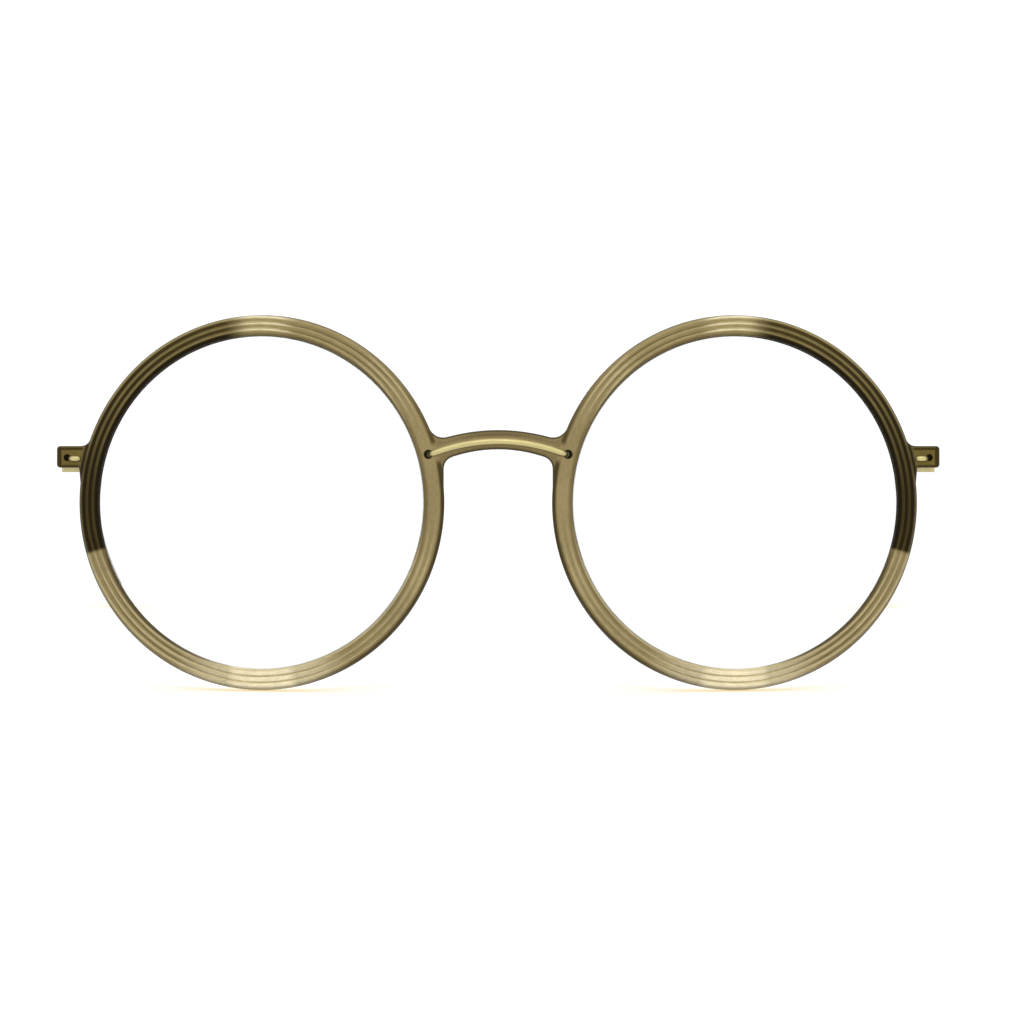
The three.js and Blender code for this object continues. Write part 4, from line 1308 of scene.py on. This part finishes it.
def painted_edge_shade(recipe, field):
    """Painted shade on rounded corners, on the rims' edges away from the light, on the bridge off its wire
    and on the lug's borders
    """
    front, wire, finish = settings("front"), settings("wire"), settings("finish")
    # Painted shade on the face's rounded corners and side walls, and on the outer edge on the side away from
    # the light
    corner = field.depth.band(face_front(), CORNER_BAND)
    outer = field.offset.band(0, OUTER_EDGE) * field.offset.band(0, OUTER_EDGE_END)
    outer = outer * recipe.math("COSINE", field.angle - finish.shade_side).between(*AWAY_FROM_LIGHT)
    outer = outer * field.near(HOLE_SIDE, BESIDE_HOLE)
    bands = [
        field.offset.band(0, band.across) * field.near(band.side, band.around) * band.strength
        for band in SHADE_BANDS
    ]

    # Painted shade on the bridge away from its wire, strongest at the middle
    arch = field.x * field.x * ((wire.crest - wire.hole_level) / wire_leg() ** 2)
    bridge = abs(field.z + arch - wire.crest).band(0, OFF_WIRE) * field.sideways(0.0, -1.0)
    bridge = bridge * abs(field.x).band(0, CREST_BAND).ranged(0.36, 0.6)
    bridge = bridge * field.offset.band(front.rim_width, OFF_RIM)

    # Painted shade along the lug's top, foot and end
    low, top = lug_heights()
    below = top - field.z
    seam = below.band(0, LUG_SEAM) * below.band(0, LUG_SEAM_END)
    foot = (field.z - low).band(0, LUG_FOOT)
    tip = (lug_end() - rim_x() - field.out).band(0, LUG_TIP)
    lug = recipe.largest(seam, foot, tip) * field.lug()
    return recipe.largest(corner, outer, *bands, bridge, lug) * field.depth.band(rim_back(), BACK_BAND)


def acetate_front():
    """Satin khaki acetate with a grain and darker upper outer rims; painted highlights: a cream glow on the
    lower rims, pale lines on the beads and a lighter top; painted shade on the edges and in the grooves
    """
    finish = settings("finish")
    recipe = Recipe("acetate_front_finish")
    field = FrontField(recipe)
    # Painted highlight: the cream glow on the lower rims, with a wider faint part
    cream = recipe.largest(field.near(BOTTOM, LOW_HIGHLIGHT_ZONE), field.near(BOTTOM, GLOW_ZONE) * GLOW_SHARE)
    # Painted highlight at the top of the rims
    top_highlight = field.near(TOP, TOP_HIGHLIGHT_ZONE)
    # Painted highlight lines on the beads, and painted shade in the grooves
    line, groove = painted_bead_light(recipe, field)

    tone = recipe.mix(field.sideways(*NOSE_SIDE), finish.khaki, finish.nasal)
    tone = recipe.mix(field.lug(), tone, finish.lug)
    # Painted highlight: a lighter ground at the top
    tone = recipe.mix(top_highlight, tone, finish.top_highlight_ground, share=0.7)
    # Painted shade in the grooves
    tone = recipe.mix(groove, tone, finish.groove, share=0.14)
    # Painted highlight: the cream glow on the lower rims
    tone = recipe.mix(cream, tone, finish.cream)
    # Painted shade on edges, corners and borders, weaker in the lower rims' glow
    tone = recipe.mix(painted_edge_shade(recipe, field) * cream.ranged(0.9, 0.4), tone, finish.edge)
    # Painted highlight lines: darker within the lower rims' glow, dimmer towards the nose side, brightest at
    # the top
    pale = recipe.mix(cream, finish.khaki_highlight_line, finish.low_shade_line)
    pale = recipe.mix(field.near(UPPER_NOSE_SIDE, UPPER_ZONE), pale, finish.upper_highlight_line)
    pale = recipe.mix(top_highlight, pale, finish.top_highlight_line)
    tone = recipe.mix(line, tone, pale, share=0.8)
    # The upper outer rims are painted darker, lighter towards the top; the band at the lens is painted shade
    # on the inner bead, and the lines there are painted highlights
    dark = recipe.mix(field.angle.turn(0, DARK_ZONE_TURN), finish.dark_zone_lower, finish.dark_zone_upper)
    dark = recipe.mix(field.offset.band(0, LENS_SHADE), dark, finish.dark_zone)
    dark_line = recipe.mix(field.angle.turn(0, DARK_ZONE_LINE_TURN), finish.dark_zone_low_highlight_line, finish.dark_zone_highlight_line)
    tone = recipe.mix(field.dark_zone(), tone, recipe.mix(line, dark, dark_line))

    # Grain that runs along the rims, slow clouds in the sheet, and specks
    along = recipe.out(
        "ShaderNodeCombineXYZ", "Vector", {"X": field.offset / MM, "Y": field.angle * GRAIN_TURN})
    grain = recipe.noise(along, scale=4, detail=4, roughness=0.65)
    clouds = recipe.noise(field.place, scale=140, detail=3)
    speck = recipe.noise(field.place, scale=2600, detail=2)
    shade = grain * GRAIN_SHARE + clouds * CLOUD_SHARE + speck * SPECK_SHARE
    recipe.surface(
        Base_Color=recipe.mix(1.0, tone, shade.spread(0.72, 1.24), blend="MULTIPLY"),
        Roughness=grain.spread(0.36, 0.46), IOR=1.5, Specular_Tint=(1.0, 0.82, 0.45),
        Specular_IOR_Level=0.25)
    recipe.bump(grain + speck, distance=0.03 * MM, strength=0.5)
    return recipe.owner


def acetate_tip():
    """Polished khaki acetate with soft clouds"""
    finish = settings("finish")
    recipe = Recipe("acetate_tip_finish")
    place = recipe.object_place(hinge_place())
    clouds = recipe.noise(recipe.scaled(place, 1.0, 0.25, 1.0), scale=260, detail=4, roughness=0.6)
    speck = recipe.noise(place, scale=2600, detail=2)
    tone = recipe.mix(clouds.between(0.35, 0.65), finish.nasal, finish.khaki)
    recipe.surface(
        Base_Color=recipe.mix(speck, tone, finish.dark_zone, share=0.2), Roughness=clouds.spread(0.2, 0.3),
        IOR=1.5, Specular_Tint=(1.0, 0.93, 0.74))
    recipe.bump(speck, distance=0.02 * MM, strength=0.4)
    return recipe.owner


def polished_gold():
    """Pale gold wire with faint drawing marks, and painted shade where it sinks into its channel"""
    finish, wire = settings("finish"), settings("wire")
    recipe = Recipe("gold_wire_finish")
    place = recipe.object_place(front_place())
    marks = recipe.noise(recipe.scaled(place, 0.15, 1.0, 1.0), scale=5200, detail=2)
    cloud = recipe.noise(place, scale=300, detail=3)
    depth = recipe.front_depth(place)
    ground = face_front() + wire.sink
    # Painted shade where the wire sinks into its channel
    sunk = depth.between(*(ground + part * wire.diameter for part in WIRE_SUNK_SHADE))
    sunk = sunk * depth.band(rim_back(), WIRE_CLEAR)
    tone = recipe.mix(cloud, finish.wire, finish.bar, share=0.3)
    recipe.surface(
        Base_Color=recipe.mix(sunk, tone, finish.wire_shade, share=0.8), Metallic=1.0,
        Roughness=marks.spread(0.6, 0.72))
    recipe.bump(marks, distance=0.01 * MM, strength=0.3)
    return recipe.owner


def brushed_gold(name, along):
    """Satin pale gold, brushed along one axis"""
    finish = settings("finish")
    recipe = Recipe(name)
    place = recipe.object_place(hinge_place())
    stretch = [0.03 if axis == along else 1.0 for axis in range(3)]
    brush = recipe.noise(recipe.scaled(place, *stretch), scale=5000, detail=3, roughness=0.6)
    wear = recipe.noise(place, scale=180, detail=4)
    tone = recipe.mix(wear, finish.bar, finish.wire, share=0.35)
    recipe.surface(
        Base_Color=recipe.mix(brush, tone, finish.steel, share=0.25, blend="MULTIPLY"), Metallic=1.0,
        Roughness=brush.spread(0.24, 0.42))
    recipe.bump(brush, distance=0.01 * MM, strength=0.4)
    return recipe.owner


def plated_steel():
    """Bright plated steel with turning marks"""
    finish = settings("finish")
    recipe = Recipe("screw_finish")
    place = recipe.object_place(hinge_place())
    turned = recipe.noise(recipe.scaled(place, 1.0, 1.0, 6.0), scale=2400, detail=2)
    recipe.surface(
        Base_Color=recipe.mix(turned, finish.steel, finish.bar, share=0.4), Metallic=1.0,
        Roughness=turned.spread(0.2, 0.36))
    recipe.bump(turned, distance=0.01 * MM, strength=0.3)
    return recipe.owner


def washer_nylon():
    """Cloudy natural nylon"""
    finish = settings("finish")
    recipe = Recipe("nylon_finish")
    cloud = recipe.noise(recipe.object_place(hinge_place()), scale=1800, detail=3)
    recipe.surface(
        Base_Color=recipe.mix(cloud, finish.nylon, finish.pad, share=0.3), Roughness=cloud.ranged(0.4, 0.6))
    recipe.bump(cloud, distance=0.01 * MM, strength=0.3)
    return recipe.owner


def silicone():
    """Soft, slightly see-into silicone"""
    finish = settings("finish")
    recipe = Recipe("pad_finish")
    place = recipe.object_place(front_place())
    cloud = recipe.noise(place, scale=320, detail=3)
    skin = recipe.noise(place, scale=4200, detail=2)
    recipe.surface(
        Base_Color=recipe.mix(cloud, finish.pad, finish.khaki, share=0.35), Roughness=skin.ranged(0.3, 0.46),
        Subsurface_Weight=0.35, Subsurface_Scale=MM)
    recipe.bump(skin, distance=0.02 * MM, strength=0.3)
    return recipe.owner


def clear_lens():
    """Clear hard-coated lens that lets the lamps through"""
    recipe = Recipe("clear_lens_finish")
    smear = recipe.noise(recipe.object_place(front_place()), scale=60, detail=3)
    recipe.surface(
        Base_Color=(0.995, 1.0, 0.998), Roughness=smear.between(0.55, 0.8).ranged(0.0, 0.02), IOR=1.5,
        Transmission_Weight=1.0)
    lamp = recipe.out("ShaderNodeLightPath", "Is Shadow Ray")
    glass, through = Value(recipe, recipe.shader.outputs[0]), recipe.out("ShaderNodeBsdfTransparent", 0)
    both = recipe.out("ShaderNodeMixShader", 0, {0: lamp, 1: glass, 2: through})
    recipe.feed(recipe.nodes["Material Output"].inputs["Surface"], both)
    return recipe.owner


# Stage

WHITE, PAPER, PAPER_SEEN, PAPER_GLOW = (1.0, 1.0, 1.0), (0.5, 0.5, 0.5), (0.2, 0.42, 0.8), (0.9, 0.68, 0.3)
BLACK = (0.02, 0.02, 0.02)

# Where the lamps' light comes from: each key lamp's sideways part, and the rest of its direction
KEY_ASIDE, KEY_FORWARD, KEY_UP = 0.15, -0.77, 0.64
FILL_SOURCE = (0, -1.0, 0.22)

# Metres, but the sensor's width is in millimetres
CARD_SIDE, CARD_DISTANCE, CLIP_END = 6, 3.8, 100.0
SENSOR_WIDTH = 36.0


def floor_finish():
    """White paper that keeps a faint cream shadow: in the picture, part of its white is its own"""
    recipe = Recipe("floor_finish")
    seen = recipe.seen_ray()
    recipe.surface(
        Base_Color=recipe.mix(seen, PAPER, PAPER_SEEN), Roughness=1.0, Emission_Color=PAPER_GLOW,
        Emission_Strength=seen, Specular_IOR_Level=0.0)
    return recipe.owner


def card_finish():
    """Black card behind the camera, for the frame to reflect"""
    recipe = Recipe("card_finish")
    recipe.surface(Base_Color=BLACK, Roughness=1.0, Specular_IOR_Level=0.0)
    return recipe.owner


def surroundings():
    """Surroundings that are white where they show, and dimmer as a lamp"""
    recipe = Recipe("surroundings", bpy.data.worlds, "Background")
    strength = recipe.out(
        "ShaderNodeMapRange", "Result",
        {"Value": recipe.seen_ray(), "To Min": settings("stage").surround})
    recipe.surface(Color=WHITE, Strength=strength)
    return recipe.owner


def sun(name, source, strength, spread):
    """An even lamp whose light comes from a direction"""
    bpy.ops.object.light_add(type="SUN", rotation=Vector(source).to_track_quat("Z", "Y").to_euler())
    lamp = bpy.context.object
    lamp.name = name
    lamp.data.energy = strength
    lamp.data.angle = spread
    return lamp


class EYEGLASS_OT_stage(Operator):
    """Set up the floor, the lamps, the white surroundings and the camera"""
    bl_idname = "eyeglass.stage"
    bl_label = "Stage"

    def execute(self, context):
        stage = settings("stage")
        floor = added(bpy.ops.mesh.primitive_plane_add, "floor", size=stage.floor)
        floor.data.materials.append(floor_finish())

        context.scene.world = surroundings()
        for name, side in SIDES.items():
            sun("key_" + name, (side * KEY_ASIDE, KEY_FORWARD, KEY_UP), stage.key, stage.key_spread)
        fill = sun("front_fill", FILL_SOURCE, stage.fill, stage.key_spread)
        fill.visible_glossy = False
        fill.data.use_shadow = False
        card = added(
            bpy.ops.mesh.primitive_plane_add, "dark_card", size=CARD_SIDE, rotation=(math.pi / 2, 0, 0),
            location=front_place().to_translation() + Vector((0, -CARD_DISTANCE, 0)))
        card.data.materials.append(card_finish())
        card.visible_camera = False
        card.visible_diffuse = False

        context.scene.view_settings.view_transform = "Standard"
        camera = bpy.data.cameras.new("camera")
        camera.sensor_width = SENSOR_WIDTH
        camera.lens = camera.sensor_width * stage.distance / stage.view_width
        camera.clip_end = CLIP_END
        view = bpy.data.objects.new("camera", camera)
        context.scene.collection.objects.link(view)
        stand = Matrix.Translation((stage.aim_right, -stage.distance, -stage.aim_down))
        view.matrix_world = front_place() @ stand @ Matrix.Rotation(math.pi / 2, 4, "X")
        context.scene.camera = view
        return {"FINISHED"}


class EYEGLASS_PT_panel(Panel):
    """Lists the steps that model the eyeglass frame"""
    bl_label = "Eyeglass Frame"
    bl_idname = "EYEGLASS_PT_panel"
    bl_space_type = "VIEW_3D"
    bl_region_type = "UI"
    bl_category = "Eyeglasses"

    def draw(self, context):
        for step in STEPS:
            self.layout.operator(step.bl_idname)


GROUPS = {
    "front": FrontSizes, "wire": WireSizes, "hinge": HingeSizes, "temple": TempleSizes,
    "finish": Finishes, "stage": StageSizes,
}
STEPS = (
    EYEGLASS_OT_front, EYEGLASS_OT_wire, EYEGLASS_OT_lenses, EYEGLASS_OT_pads, EYEGLASS_OT_hinges,
    EYEGLASS_OT_temples, EYEGLASS_OT_stage,
)


def register():
    for name, group in GROUPS.items():
        bpy.utils.register_class(group)
        setattr(bpy.types.Scene, "eyeglass_" + name, PointerProperty(type=group))
    for step in STEPS:
        bpy.utils.register_class(step)
    bpy.utils.register_class(EYEGLASS_PT_panel)


def unregister():
    bpy.utils.unregister_class(EYEGLASS_PT_panel)
    for step in reversed(STEPS):
        bpy.utils.unregister_class(step)
    for name, group in GROUPS.items():
        delattr(bpy.types.Scene, "eyeglass_" + name)
        bpy.utils.unregister_class(group)


def main():
    register()
    bpy.ops.eyeglass.front()
    bpy.ops.eyeglass.wire()
    bpy.ops.eyeglass.lenses()
    bpy.ops.eyeglass.pads()
    bpy.ops.eyeglass.hinges()
    bpy.ops.eyeglass.temples()
    bpy.ops.eyeglass.stage()


if __name__ == "__main__":
    main()
